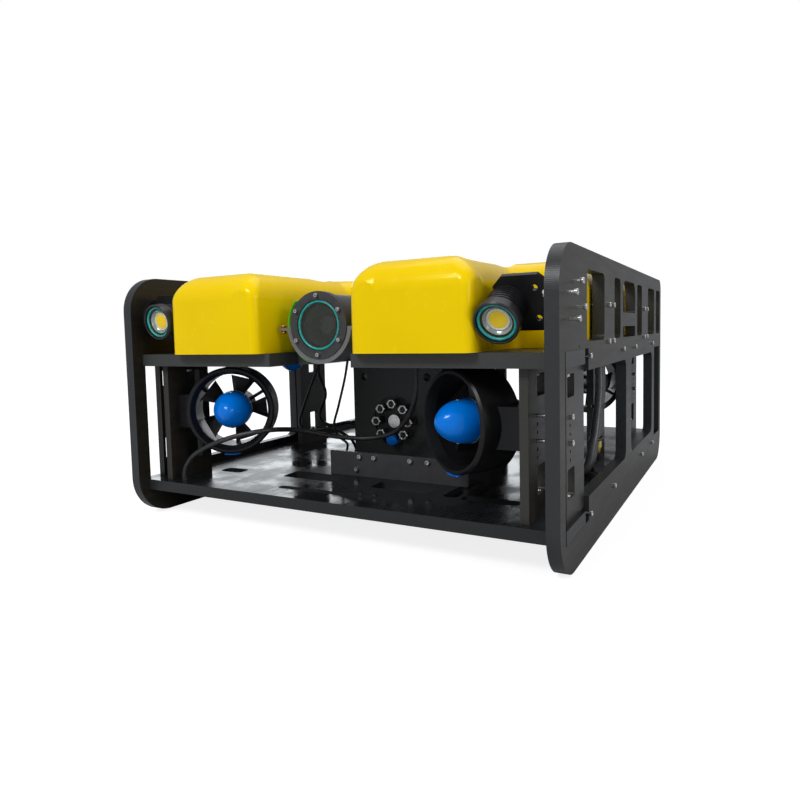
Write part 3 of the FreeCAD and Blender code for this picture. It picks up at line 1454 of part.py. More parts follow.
def build_screws():
    solids = []
    reach = size("plate_thick") + size("screw_bite")
    stand = size("light_bolt_stand")
    flange_in = size("plate_thick") + size("flange_gap") * 2 + size("flange_thick")
    for side in (-1, 1):
        way = (side, 0, 0)
        face = side * half_width
        for y, z in deck_screws():
            solids.append(screw(face, y, z, way, reach))
        for y, z in float_screws():
            solids.append(screw(face, y, z, way, reach + size("float_side_gap")))
        for y, z in light_bolts(side):
            solids.append(screw(face + side * stand, y, z, way, stand + flange_in + size("nut_height"),
                                nut_at=stand + flange_in))
        outer = half_width - size("outer_leg_inset")
        inner = half_width - size("inner_leg_inset")
        for end, board in ((-1, outer), (1, inner)):
            length = board - (inner - size("leg_thick") - size("screw_bite") + 3)
            for z in arm_bolt_heights:
                solids.append(screw(side * board, end * (half_length - size("leg_hole_line")), z, way, length))
        solids.append(screw(side * size("ear_screw"), ear_screw_y, size("camera_z") - size("ear_drop"),
                            (0, 0, 1), size("ear_thick") + size("screw_bite") - 1))
    sink = size("head_sink")
    for x, y in tie_bolts():
        up = size("up_deck_thick") - sink + size("leg_high_slot") + size("nut_height")
        solids.append(screw(x, y, up_top - sink, (0, 0, 1), up + 1, nut_at=up - size("nut_height")))
        down = size("low_deck_thick") - sink + size("leg_low_slot") + size("nut_height")
        solids.append(screw(x, y, size("low_deck_level") + sink, (0, 0, -1), down + 1,
                            nut_at=down - size("nut_height")))
    for x, z in camera_screws():
        solids.append(screw(x, camera_y, z, (0, -1, 0), size("camera_screw_length") - 2,
                            size("camera_screw_radius"), size("camera_screw_head")))
    rail_y = size("rail_start") - half_length
    for x, drop in rail_screws():
        solids.append(screw(x, rail_y, low_top + size("rail_height") - drop, (0, -1, 0),
                            size("rail_thick") + size("nut_height"), nut_at=size("rail_thick")))
    for x in rail_feet:
        solids.append(screw(x, rail_y + size("rail_foot") / 2, low_top + size("rail_thick"), (0, 0, 1),
                            size("rail_thick") + size("low_deck_thick") - 2))
    feature = doc.addObject("Part::Feature", "cap_screws_group")
    feature.Shape = Part.Compound(solids)
    keep("cap_screws", feature)


build_frame()
for side_name, side in SIDES.items():
    float_half(f"float_{side_name}", side)
build_thrusters()
build_hull()
build_camera()
for side_name, side in SIDES.items():
    build_light(side_name, side)
build_rail()
build_cable()
build_screws()
doc.recompute()

# --------------------------------------------------------------------------
# Checks and export
# --------------------------------------------------------------------------

broken = [f"{o.Name}: {o.State}" for o in doc.Objects if {"Invalid", "Error"} & set(o.State)]
for label, feature in parts.items():
    shape = feature.Shape
    if shape.isNull() or not shape.isValid() or shape.Volume <= 0:
        broken.append(f"{label}: shape")
if broken:
    raise SystemExit("not built: " + "; ".join(broken[:20]))

os.makedirs("parts", exist_ok=True)
for label, feature in parts.items():
    feature.Shape.exportStep(f"parts/{label}.step")
    print(f"{label}: {len(feature.Shape.Solids)} solids, {feature.Shape.Volume / 1000:.2f} cm3")
print(len(parts), "sub-parts")
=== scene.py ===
import json
import math

import bmesh
import bpy
import numpy as np
from mathutils import Matrix, Vector


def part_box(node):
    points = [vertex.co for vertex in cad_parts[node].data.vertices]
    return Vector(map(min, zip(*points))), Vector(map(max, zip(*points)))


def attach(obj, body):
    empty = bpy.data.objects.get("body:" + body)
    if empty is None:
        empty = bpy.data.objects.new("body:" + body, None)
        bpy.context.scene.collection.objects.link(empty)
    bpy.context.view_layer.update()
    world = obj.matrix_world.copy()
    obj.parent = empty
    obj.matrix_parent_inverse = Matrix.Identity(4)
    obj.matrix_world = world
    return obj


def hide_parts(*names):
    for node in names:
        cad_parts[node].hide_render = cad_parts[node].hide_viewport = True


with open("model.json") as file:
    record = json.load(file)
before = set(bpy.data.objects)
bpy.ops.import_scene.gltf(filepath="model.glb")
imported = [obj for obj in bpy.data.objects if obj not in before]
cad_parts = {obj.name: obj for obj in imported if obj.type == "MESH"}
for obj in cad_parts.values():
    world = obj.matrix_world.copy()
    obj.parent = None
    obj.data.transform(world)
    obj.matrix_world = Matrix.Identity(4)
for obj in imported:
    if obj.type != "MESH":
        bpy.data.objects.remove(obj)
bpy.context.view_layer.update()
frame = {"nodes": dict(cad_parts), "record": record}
nodes = frame["nodes"]

MM = 0.001
TAU = 2 * math.pi

# --------------------------------------------------------------------------
# Shader arithmetic
# --------------------------------------------------------------------------


class Graph:
    """A node tree whose nodes all come from one method."""

    def __init__(self, tree):
        self.tree = tree

    def node(self, kind, settings=None, sockets=None):
        """A node of a type: its settings first, then the link or the value of each named socket."""
        made = self.tree.nodes.new(kind)
        for key, value in (settings or {}).items():
            setattr(made, key, value)
        for key, item in (sockets or {}).items():
            item = item.socket if isinstance(item, Value) else item
            if isinstance(item, bpy.types.NodeSocket):
                self.tree.links.new(item, made.inputs[key])
            else:
                made.inputs[key].default_value = item
        return made

    def seen_directly(self):
        """1 for rays from the camera, also through glass, and 0 for the rays that light the object."""
        path = self.node("ShaderNodeLightPath")
        rays = {0: path.outputs["Is Camera Ray"], 1: path.outputs["Is Transmission Ray"]}
        return self.node("ShaderNodeMath", {"operation": "MAXIMUM"}, rays).outputs[0]


class Value:
    """A scalar socket of a node tree, with the usual arithmetic."""

    def __init__(self, graph, socket):
        self.graph = graph
        self.socket = socket

    def math(self, operation, *others, clamp=False):
        """One math node on this value and the others."""
        items = dict(enumerate((self,) + others))
        made = self.graph.node("ShaderNodeMath", {"operation": operation, "use_clamp": clamp}, items)
        return Value(self.graph, made.outputs[0])

    def __add__(self, other):
        return self.math("ADD", other)

    def __sub__(self, other):
        return self.math("SUBTRACT", other)

    def __mul__(self, other):
        return self.math("MULTIPLY", other)

    __radd__ = __add__
    __rmul__ = __mul__

    def __rsub__(self, other):
        return self * -1.0 + other

    def sine(self):
        return self.math("SINE")

    def absolute(self):
        return self.math("ABSOLUTE")

    def clamped(self):
        return self.math("ADD", 0.0, clamp=True)

    def step(self, low, high):
        """0 below low, 1 above high, smooth between."""
        made = self.graph.node("ShaderNodeMapRange", {"interpolation_type": "SMOOTHSTEP"},
                               {"Value": self, "From Min": low, "From Max": high})
        return Value(self.graph, made.outputs["Result"])


class Material(Graph):
    """A procedural material whose varying inputs come from Values."""

    def __init__(self, name, **constants):
        self.data = bpy.data.materials.new(name)
        self.data.use_nodes = True
        super().__init__(self.data.node_tree)
        self.shader = self.tree.nodes["Principled BSDF"]
        for key, value in constants.items():
            self.shader.inputs[key.replace("_", " ")].default_value = value
        place = self.node("ShaderNodeTexCoord")
        self.x, self.y, self.z = self.split(place.outputs["Object"])
        self.nx, self.ny, self.nz = self.split(place.outputs["Normal"])

    def split(self, socket):
        """The three parts of a vector as Values."""
        parts = self.node("ShaderNodeSeparateXYZ", None, {0: socket})
        return tuple(Value(self, output) for output in parts.outputs)

    def noise(self, scale, detail, stretch=(1, 1, 1)):
        """Noise of a scale in cycles per metre; a larger stretch packs it closer along that axis."""
        at = self.node("ShaderNodeCombineXYZ", None,
                       {0: self.x * stretch[0], 1: self.y * stretch[1], 2: self.z * stretch[2]})
        made = self.node("ShaderNodeTexNoise", None,
                         {"Vector": at.outputs[0], "Scale": scale, "Detail": detail, "Roughness": 0.55})
        return Value(self, made.outputs["Fac"])

    def edge_wear(self):
        """0 on flats and 1 on sharp outer edges."""
        return Value(self, self.node("ShaderNodeNewGeometry").outputs["Pointiness"]).step(0.53, 0.6)

    def blend(self, factor, first, second):
        """A colour between two colours or colour sockets."""
        first, second = (item if isinstance(item, bpy.types.NodeSocket) else (*item, 1.0)
                         for item in (first, second))
        return self.node("ShaderNodeMix", {"data_type": "RGBA"}, {0: factor, 6: first, 7: second}).outputs[2]

    def colour(self, socket):
        self.tree.links.new(socket, self.shader.inputs["Base Color"])

    def drive(self, name, value):
        self.tree.links.new(value.socket, self.shader.inputs[name])

    def bump(self, height, distance, strength):
        """Relief whose height of 1 is distance metres."""
        made = self.node("ShaderNodeBump", None,
                         {"Distance": distance, "Strength": strength, "Height": height})
        self.tree.links.new(made.outputs[0], self.shader.inputs["Normal"])


# --------------------------------------------------------------------------
# Camera, light and floor
# --------------------------------------------------------------------------

# Degrees: from the front round to the right, downwards, and about the line of sight.
CAMERA_AZIMUTH = 29.68
CAMERA_ELEVATION = 4.08
CAMERA_ROLL = -1.43
CAMERA_PLACE = (0.48062, -1.019, 0.26334)
# Millimetres.
CAMERA_LENS = 29.153
CAMERA_SENSOR = 36
# Shares of the sensor's width.
CAMERA_SHIFT = (0.01685, -0.0283)
# Metres: half the floor's width, and how far it lies below the object so that the two don't coincide.
FLOOR_SPAN = 4.0
FLOOR_DROP = 0.0005


def aim_camera():
    """A camera at the viewing angle of the object's front right, just above its middle."""
    azimuth, elevation, roll = (math.radians(v) for v in (CAMERA_AZIMUTH, CAMERA_ELEVATION, CAMERA_ROLL))
    look = Vector((-math.sin(azimuth) * math.cos(elevation), math.cos(azimuth) * math.cos(elevation),
                   -math.sin(elevation)))
    level = Vector((math.cos(azimuth), math.sin(azimuth), 0))
    up = level.cross(look)
    right = math.cos(roll) * level + math.sin(roll) * up
    top = math.cos(roll) * up - math.sin(roll) * level
    data = bpy.data.cameras.new("camera")
    data.sensor_width = CAMERA_SENSOR
    data.lens = CAMERA_LENS
    data.shift_x, data.shift_y = CAMERA_SHIFT
    data.clip_start = 0.01
    camera = bpy.data.objects.new("camera", data)
    turn = Matrix((right, top, -look)).transposed().to_4x4()
    camera.matrix_world = Matrix.Translation(CAMERA_PLACE) @ turn
    bpy.context.scene.collection.objects.link(camera)
    bpy.context.scene.camera = camera


def area_light(name, place, target, size, power, tint=(1, 1, 1)):
    """A rectangular lamp at a place, turned towards a target."""
    data = bpy.data.lights.new(name, "AREA")
    data.shape = "RECTANGLE"
    data.size, data.size_y = size
    data.energy = power
    data.color = tint
    lamp = bpy.data.objects.new(name, data)
    lamp.location = place
    lamp.rotation_euler = (Vector(target) - Vector(place)).to_track_quat("-Z", "Y").to_euler()
    bpy.context.scene.collection.objects.link(lamp)


def light_studio():
    """A key light from the front left, a warm one from the right, a broad top and a cool window behind."""
    area_light("key", (-0.5, -2.6, 2.2), (0, -0.1, 0.2), (1.1, 0.8), 50)
    area_light("side", (2.9, -0.9, 1.0), (0.2, 0, 0.2), (1.6, 1.2), 26, (1.0, 0.95, 0.88))
    area_light("top", (0.2, 0.6, 2.8), (0, 0, 0.2), (2.6, 2.6), 24)
    area_light("window", (-2.0, 2.6, 0.75), (-0.1, 0, 0.15), (2.6, 1.3), 22, (0.92, 0.97, 1.0))


def dress_world():
    """A dim grey room lights the object and the camera sees plain white behind it."""
    world = bpy.data.worlds.new("studio")
    bpy.context.scene.world = world
    world.use_nodes = True
    world.node_tree.nodes.clear()
    graph = Graph(world.node_tree)
    lit = graph.node("ShaderNodeBackground", None, {"Color": (0.92, 0.95, 1.0, 1), "Strength": 0.42})
    seen = graph.node("ShaderNodeBackground", None, {"Color": (1, 1, 1, 1), "Strength": 1.0})
    mix = graph.node("ShaderNodeMixShader", None,
                     {0: graph.seen_directly(), 1: lit.outputs[0], 2: seen.outputs[0]})
    graph.node("ShaderNodeOutputWorld", None, {"Surface": mix.outputs[0]})
    bpy.context.scene.view_settings.view_transform = "Standard"


def lay_floor():
    """A pale floor that takes the object's shadow and is white to the camera outside it."""
    material = bpy.data.materials.new("floor")
    material.use_nodes = True
    graph = Graph(material.node_tree)
    matt = {"Roughness": 0.9, "Specular IOR Level": 0.0}
    glow = {"Emission Color": (1, 1, 1, 1), "Emission Strength": 0.83}
    lit = graph.node("ShaderNodeBsdfPrincipled", None, {"Base Color": (0.55, 0.56, 0.58, 1), **matt})
    seen = graph.node("ShaderNodeBsdfPrincipled", None, {"Base Color": (0.36, 0.36, 0.37, 1), **matt, **glow})
    mix = graph.node("ShaderNodeMixShader", None,
                     {0: graph.seen_directly(), 1: lit.outputs[0], 2: seen.outputs[0]})
    graph.tree.links.new(mix.outputs[0], graph.tree.nodes["Material Output"].inputs["Surface"])
    mesh = bpy.data.meshes.new("floor")
    corners = [(x * FLOOR_SPAN, y * FLOOR_SPAN, 0) for x, y in ((-1, -1), (1, -1), (1, 1), (-1, 1))]
    mesh.from_pydata(corners, [], [(0, 1, 2, 3)])
    floor = bpy.data.objects.new("floor", mesh)
    floor.location.z = -FLOOR_DROP
    mesh.materials.append(material)
    bpy.context.scene.collection.objects.link(floor)


# --------------------------------------------------------------------------
# Materials
# --------------------------------------------------------------------------

# Metres between a cutter's marks on a sheet's edge and between printed layers.
FEED_PITCH = 0.0019
LAYER_PITCH = 0.0004


def board_material(name, dark, light, cut_and_reflection, cut_axis, gloss=0.4, wet=0.0):
    """Routed polyethylene: a fine grain on the faces, feed marks across the paler routed edges, whose paler
    colour is partly their own and partly a painted reflection.
    """
    m = Material(name, Specular_IOR_Level=0.3)
    face = {"x": m.nx, "z": m.nz}[cut_axis].absolute().step(0.55, 0.8)
    along, stretch = (m.z, (0.15, 0.15, 3)) if cut_axis == "x" else (m.x + m.y, (3, 3, 0.2))
    feed = (along * (TAU / FEED_PITCH)).sine() * 0.5 + 0.5
    drift = m.noise(90, 3)
    marks = feed * 0.6 + m.noise(600, 2, stretch) * 0.6
    grain = m.noise(900, 4)
    streaks = m.noise(120, 4, (1, 0.12, 1))
    tone = (grain * 0.35 + streaks * 0.45 + drift * 0.2).step(0.3, 0.75)
    pool = m.noise(9, 4).step(0.42, 0.6) * wet
    # Edges square to the sheet's faces take the paler edge colour: partly the routed surface's own tone,
    # partly a painted reflection of the room.
    m.colour(m.blend((1.0 - face) * (marks * 0.5 + 0.5).clamped(), m.blend(tone, dark, light), cut_and_reflection))
    uneven = (streaks - 0.5) * 0.16 + (grain - 0.5) * 0.1
    m.drive("Roughness", (uneven + gloss - pool * face * 0.26).clamped())
    m.bump(grain * 0.25 * face + marks * (1.0 - face), 0.00012, 0.7)
    return m.data


def gloss_material(name, base, deep, worn, rough, orange_peel, coat=0.35):
    """Gloss paint or moulding with a soft skin, faint dust and small scuffs."""
    m = Material(name, Coat_Roughness=0.05, Coat_Weight=coat, Specular_IOR_Level=0.25,
                 Specular_Tint=(*(0.2 + 0.8 * v for v in base), 1.0))
    broad = m.noise(7, 2)
    fine = m.noise(260, 3)
    dust = m.noise(45, 6).step(0.56, 0.72)
    body = m.blend(broad.step(0.3, 0.7), base, deep)
    m.colour(m.blend(dust * 0.25, body, worn))
    m.drive("Roughness", fine * 0.05 + dust * 0.12 + rough)
    m.bump(m.noise(170, 2) * orange_peel + fine * 0.05, 0.00022, 0.5)
    return m.data


def moulded_material(name, base, light, rough, grain_scale=1400, metallic=0.0):
    """Moulded or anodised surface with a fine grain and paler rubbed edges."""
    m = Material(name, Metallic=metallic, Specular_IOR_Level=0.24)
    grain = m.noise(grain_scale, 3)
    cloud = m.noise(60, 4)
    wear = m.edge_wear()
    m.colour(m.blend((cloud * 0.7 + wear * 0.6).clamped(), base, light))
    m.drive("Roughness", (cloud - 0.5) * 0.18 + (grain - 0.5) * 0.1 + rough)
    m.bump(grain, 0.00006, 0.5)
    return m.data


def metal_material(name, tint, rough=0.2):
    """Bare metal with fine brushed lines and slightly darker spots."""
    m = Material(name, Metallic=1.0)
    lines = m.noise(800, 2, (6, 1, 1))
    spots = m.noise(300, 3)
    m.colour(m.blend(spots.step(0.35, 0.75), tint, tuple(v * 0.72 for v in tint)))
    m.drive("Roughness", lines * 0.16 + rough)
    m.bump(lines, 0.00003, 0.5)
    return m.data


def rubber_material(name, base, light, rough, shine=0.5):
    """Rubber or matt plastic: two close tones, an uneven sheen and a very fine grain."""
    m = Material(name, Specular_IOR_Level=shine)
    m.colour(m.blend(m.noise(420, 3).step(0.35, 0.7), base, light))
    m.drive("Roughness", (m.noise(200, 3) - 0.5) * 0.2 + rough)
    m.bump(m.noise(1500, 2), 0.00004, 0.5)
    return m.data


def glass_material(name, tint, rough, alpha):
    """A clear pane that lets the pieces behind it show, with faint smears in its polish."""
    m = Material(name, IOR=1.5, Alpha=alpha)
    m.colour(m.blend(m.noise(30, 3).step(0.3, 0.7), tint, tuple(v * 0.9 for v in tint)))
    m.drive("Roughness", m.noise(120, 4).step(0.55, 0.8) * 0.1 + rough)
    return m.data


def printed_material(name, base, light):
    """Printed plastic: fine layer lines along Z."""
    m = Material(name)
    layers = (m.z * (TAU / LAYER_PITCH)).sine() * 0.5 + 0.5
    m.colour(m.blend(m.noise(70, 3).step(0.3, 0.7), base, light))
    m.drive("Roughness", m.noise(300, 3) * 0.2 + 0.3)
    m.bump(layers, 0.00008, 0.6)
    return m.data


# Each look: its maker and the maker's values after the name, colours first.
LOOKS = {
    # Boards: the third colour, for the routed edges, is paler partly by itself and partly as a painted
    # reflection.
    "frame_plate": (board_material, (0.014, 0.012, 0.0085), (0.025, 0.0215, 0.016), (0.03, 0.034, 0.038),
                    "x", 0.36),
    "frame_deck": (board_material, (0.01, 0.011, 0.012), (0.02, 0.021, 0.022), (0.05, 0.052, 0.05), "z"),
    "wet_deck": (board_material, (0.007, 0.008, 0.009), (0.015, 0.016, 0.018), (0.022, 0.023, 0.023),
                 "z", 0.34, 1.0),
    "leg_board": (board_material, (0.018, 0.0165, 0.014), (0.034, 0.031, 0.026), (0.045, 0.044, 0.04),
                  "x", 0.34),
    "float_yellow": (gloss_material, (0.88, 0.62, 0.0), (0.85, 0.58, 0.0), (0.88, 0.64, 0.005),
                     0.16, 0.25, 0.12),
    "cone_blue": (gloss_material, (0.0, 0.2, 0.8), (0.0, 0.17, 0.72), (0.02, 0.26, 0.8), 0.2, 0.12, 0.3),
    "blade_black": (moulded_material, (0.008, 0.008, 0.009), (0.025, 0.025, 0.027), 0.34),
    "duct_black": (moulded_material, (0.004, 0.004, 0.0045), (0.012, 0.012, 0.013), 0.36),
    "anodised_black": (moulded_material, (0.014, 0.014, 0.016), (0.05, 0.05, 0.053), 0.4, 2200),
    "lamp_black": (moulded_material, (0.006, 0.006, 0.007), (0.03, 0.03, 0.032), 0.3, 2200),
    "clamp_grey": (moulded_material, (0.085, 0.087, 0.09), (0.2, 0.2, 0.2), 0.4, 1800, 0.4),
    "stainless": (metal_material, (0.72, 0.71, 0.68)),
    "seal_teal": (rubber_material, (0.0, 0.28, 0.24), (0.02, 0.42, 0.36), 0.35),
    "cable_black": (rubber_material, (0.01, 0.01, 0.011), (0.035, 0.035, 0.037), 0.4),
    "port_glass": (glass_material, (0.12, 0.13, 0.11), 0.04, 0.2),
    "lamp_glass": (glass_material, (0.75, 0.8, 0.78), 0.03, 0.02),
    "cradle_green": (printed_material, (0.07, 0.36, 0.0), (0.13, 0.47, 0.01)),
    "led_yellow": (rubber_material, (0.95, 0.62, 0.0), (1.0, 0.7, 0.0), 0.5, 0.12),
    "circuit_green": (rubber_material, (0.01, 0.09, 0.03), (0.02, 0.14, 0.05), 0.4),
    "reflector_grey": (moulded_material, (0.32, 0.37, 0.35), (0.5, 0.55, 0.52), 0.25, 900, 0.5),
    "white_collar": (rubber_material, (0.62, 0.63, 0.6), (0.75, 0.75, 0.72), 0.35),
    # Pale grey for the thin lip at the nose's base: a painted highlight of its lit edge.
    "pale_rim": (rubber_material, (0.35, 0.36, 0.37), (0.5, 0.5, 0.5), 0.4),
    "clip_blue": (gloss_material, (0.01, 0.13, 0.5), (0.0, 0.1, 0.42), (0.05, 0.2, 0.6), 0.3, 0.1),
    "lens_coat": (gloss_material, (0.01, 0.02, 0.03), (0.02, 0.01, 0.035), (0.03, 0.05, 0.05), 0.05, 0.0),
    "lead_grey": (rubber_material, (0.035, 0.037, 0.04), (0.07, 0.072, 0.076), 0.35),
    "brass": (metal_material, (0.62, 0.3, 0.06), 0.25),
    "clip_yellow": (rubber_material, (0.45, 0.36, 0.06), (0.62, 0.5, 0.12), 0.45),
}

MATERIALS = {name: maker(name, *values) for name, (maker, *values) in LOOKS.items()}

SLOT_LOOKS = {
    "frame_black": "frame_deck", "leg_black": "leg_board", "float_yellow": "float_yellow",
    "cone_blue": "cone_blue", "blade_black": "blade_black", "duct_black": "duct_black",
    "anodised_black": "anodised_black", "circuit_green": "circuit_green", "port_black": "anodised_black",
    "stainless": "stainless", "port_glass": "port_glass", "seal_teal": "seal_teal",
    "clamp_grey": "clamp_grey", "cradle_green": "cradle_green", "camera_black": "lamp_black",
    "lamp_black": "lamp_black",
    "lamp_glass": "lamp_glass", "led_yellow": "led_yellow", "bracket_black": "duct_black",
    "rail_black": "anodised_black", "cable_black": "cable_black",
}

OWN_LOOKS = {"side_plate_left": "frame_plate", "side_plate_right": "frame_plate", "lower_deck": "wet_deck"}


def dress_nodes():
    """Give every CAD node the look of its material slot, or its own where it has one."""
    slots = {entry["node"]: entry["material_slot"] for entry in frame["record"]["subparts"]}
    for name, node in nodes.items():
        look = OWN_LOOKS.get(name, SLOT_LOOKS[slots[name]])
        for slot in node.material_slots:
            slot.material = MATERIALS[look]


# --------------------------------------------------------------------------
# Mesh builders
# --------------------------------------------------------------------------

# Metres within which two points are one, and the steps between two given points of a cord.
MERGE_DISTANCE = 1e-6
RUN_STEPS = 14


def new_object(name, points, faces, look):
    """A smooth mesh object at the origin; points that coincide become one, and its faces look outwards."""
    mesh = bpy.data.meshes.new(name)
    mesh.from_pydata(np.asarray(points).tolist(), [], faces)
    shell = bmesh.new()
    shell.from_mesh(mesh)
    bmesh.ops.remove_doubles(shell, verts=shell.verts, dist=MERGE_DISTANCE)
    bmesh.ops.recalc_face_normals(shell, faces=shell.faces)
    shell.to_mesh(mesh)
    shell.free()
    mesh.polygons.foreach_set("use_smooth", [True] * len(mesh.polygons))
    mesh.materials.append(MATERIALS[look])
    mesh.validate()
    obj = bpy.data.objects.new(name, mesh)
    bpy.context.scene.collection.objects.link(obj)
    return obj


def across(way):
    """Two unit vectors square to a direction; the first is level, or the X axis for a steep direction."""
    way = np.array(way, float)
    side = np.cross((0, 0, 1.0), way) if abs(way[2]) < 0.9 else np.array((1.0, 0, 0))
    side /= np.linalg.norm(side)
    return side, np.cross(way, side)


def grid_faces(rows, columns, first=0, closed=True):
    """Quads of a grid: each joins point (i, j) to its neighbours.

    Closed joins the last column to the first; first is the number of the grid's first point.
    """
    row, column = np.mgrid[0:rows - 1, 0:columns if closed else columns - 1]
    here = first + row * columns + column
    after = first + row * columns + (column + 1) % columns
    return np.stack([here, after, after + columns, here + columns], -1).reshape(-1, 4).tolist()


def metres(profile):
    """A profile given in millimetres, in metres."""
    return [(r * MM, h * MM) for r, h in profile]


def hexagon(t):
    """A hexagon's radius over its inner one: 1 over the cosine of the angle from a flat's middle."""
    return 1 / np.cos(np.mod(t, TAU / 6) - TAU / 12)


def hexagon_beyond(radius):
    """The shape of a turned nut: a hexagon where its profile is wider than a radius, round inside it."""
    return lambda r, h, t: np.where(r > radius, hexagon(t), 1.0)


def lathe_points(profile, at, way, count, shape):
    """Turned form: the point at height h and angle t is the foot plus h along the axis plus s*r round it.

    profile holds (r, h) in metres, and s = shape(r, h, t) is 1 for a plain round.
    """
    u, v = across(way)
    r, h = (column[:, None, None] for column in np.array(profile, float).T)
    t = (np.arange(count) * TAU / count)[None, :, None]
    s = shape(r, h, t) if shape else 1.0
    return (np.array(at) + h * np.array(way) + s * r * (np.cos(t) * u + np.sin(t) * v)).reshape(-1, 3)


def lathe(name, profile, at, way, look, count, shape=None, ring=False):
    """A turned piece: its (r, h) profile goes round the axis; ring closes the profile on itself."""
    profile = list(profile) + [profile[0]] * ring
    points = lathe_points(profile, at, way, count, shape)
    return new_object(name, points, grid_faces(len(profile), count), look)


def arc_band(name, foot, along, arc, first, second, profile, look):
    """A band swept part of the way round an axis, with flat ends.

    The point at height h and angle t is the foot plus h along the axis plus r times cos t of the first
    direction and sin t of the second. profile is a loop of (r, h) in millimetres; arc holds the angles.
    """
    loop = np.array(profile + profile[:1]) * MM
    r, h = (column[:, None, None] for column in loop.T)
    t = arc[None, :, None]
    rows = foot + h * along + r * (np.cos(t) * first + np.sin(t) * second)
    count = len(arc)
    ends = [[row * count + column for row in range(len(profile))] for column in (0, count - 1)]
    faces = grid_faces(len(loop), count, closed=False) + ends
    return new_object(name, rows.reshape(-1, 3), faces, look)


def tube_points(path, radius, count):
    """Circle carried along a path: path point plus radius times (cos t, sin t) square to the path."""
    path = np.array(path, float)
    steps = np.gradient(path, axis=0)
    steps /= np.linalg.norm(steps, axis=1)[:, None]
    u = np.cross(steps, np.eye(3)[np.argmin(np.abs(steps).mean(0))])
    u /= np.linalg.norm(u, axis=1)[:, None]
    v = np.cross(steps, u)
    t = (np.arange(count) * TAU / count)[None, :, None]
    return (path[:, None] + radius * (np.cos(t) * u[:, None] + np.sin(t) * v[:, None])).reshape(-1, 3)


def smooth_path(points):
    """A smooth line through given points: cubic Hermite runs with Catmull-Rom slopes."""
    points = np.array(points, float)
    ends = np.concatenate([[2 * points[0] - points[1]], points, [2 * points[-1] - points[-2]]])
    line = []
    for i in range(1, len(ends) - 2):
        p0, p1, p2, p3 = ends[i - 1:i + 3]
        for s in np.linspace(0, 1, RUN_STEPS, endpoint=False):
            line.append(0.5 * (2 * p1 + (p2 - p0) * s + (2 * p0 - 5 * p1 + 4 * p2 - p3) * s * s
                               + (3 * p1 - p0 - 3 * p2 + p3) * s ** 3))
    line.append(points[-1])
    return np.array(line)


def tube(name, points, radius, look, count=12):
    """A round cord along given points, with flat closed ends."""
    line = smooth_path(points)
    faces = grid_faces(len(line), count)
    last = (len(line) - 1) * count
    faces += [list(range(count)), list(range(last, last + count))]
    return new_object(name, tube_points(line, radius, count), faces, look)


# --------------------------------------------------------------------------
# Cap screws with sockets, knurled heads, threads and hexagon nuts
# --------------------------------------------------------------------------

# Metres. The sizes are head and shank radius; a rim is the points this near an end of the solid, and
# points wider than any head belong to a nut.
SCREW_SIZES = ((0.0035, 0.002), (0.00275, 0.0015))
HEAD_HEIGHT = 0.004
RIM_DEPTH = 0.0004
NUT_BEYOND = 0.0037
THREAD_LENGTH = 0.012
THREAD_PITCH = 0.001


def islands(obj):
    """The separate solids of a node's mesh, as arrays of their points.

    Each point takes the lowest label among its neighbours until no label changes.
    """
    mesh = obj.data
    points = np.empty(len(mesh.vertices) * 3)
    mesh.vertices.foreach_get("co", points)
    points = points.reshape(-1, 3)
    _, whole = np.unique(np.round(points, 6), axis=0, return_inverse=True)
    whole = whole.reshape(-1)
    edges = np.empty(len(mesh.edges) * 2, int)
    mesh.edges.foreach_get("vertices", edges)
    a, b = whole[edges].reshape(-1, 2).T
    label = np.arange(whole.max() + 1)
    while True:
        low = np.minimum(label[a], label[b])
        before = label.copy()
        np.minimum.at(label, a, low)
        np.minimum.at(label, b, low)
        if (before == label).all():
            break
    group = label[whole]
    return [points[group == g] for g in np.unique(group)]


def read_screw(points):
    """One cap screw, read from the solid that stands for it.

    Returns the seat under the head, the direction towards the head, the radii of head and shank, the
    length under the head and the nut's depth, or None where there is no nut.
    """
    low, high = points.min(0), points.max(0)
    axis = int(np.argmax(high - low))
    centre = (low + high) / 2
    spread = np.linalg.norm(np.delete(points - centre, axis, 1), axis=1)
    at_low, at_high = (spread[np.abs(points[:, axis] - end[axis]) < RIM_DEPTH].max() for end in (low, high))
    low_error, high_error = (min(abs(rim - size[0]) for size in SCREW_SIZES) for rim in (at_low, at_high))
    if high_error <= low_error:
        sign, top, head = 1, high[axis], at_high
    else:
        sign, top, head = -1, low[axis], at_low
    way = np.zeros(3)
    way[axis] = sign
    seat = centre.copy()
    seat[axis] = top - sign * HEAD_HEIGHT
    wide = spread > NUT_BEYOND
    nut = float(np.abs(points[wide][:, axis] - seat[axis]).min()) if wide.any() else None
    shank = min(SCREW_SIZES, key=lambda size: abs(head - size[0]))[1]
    return seat, way, head, shank, float(high[axis] - low[axis]) - HEAD_HEIGHT, nut


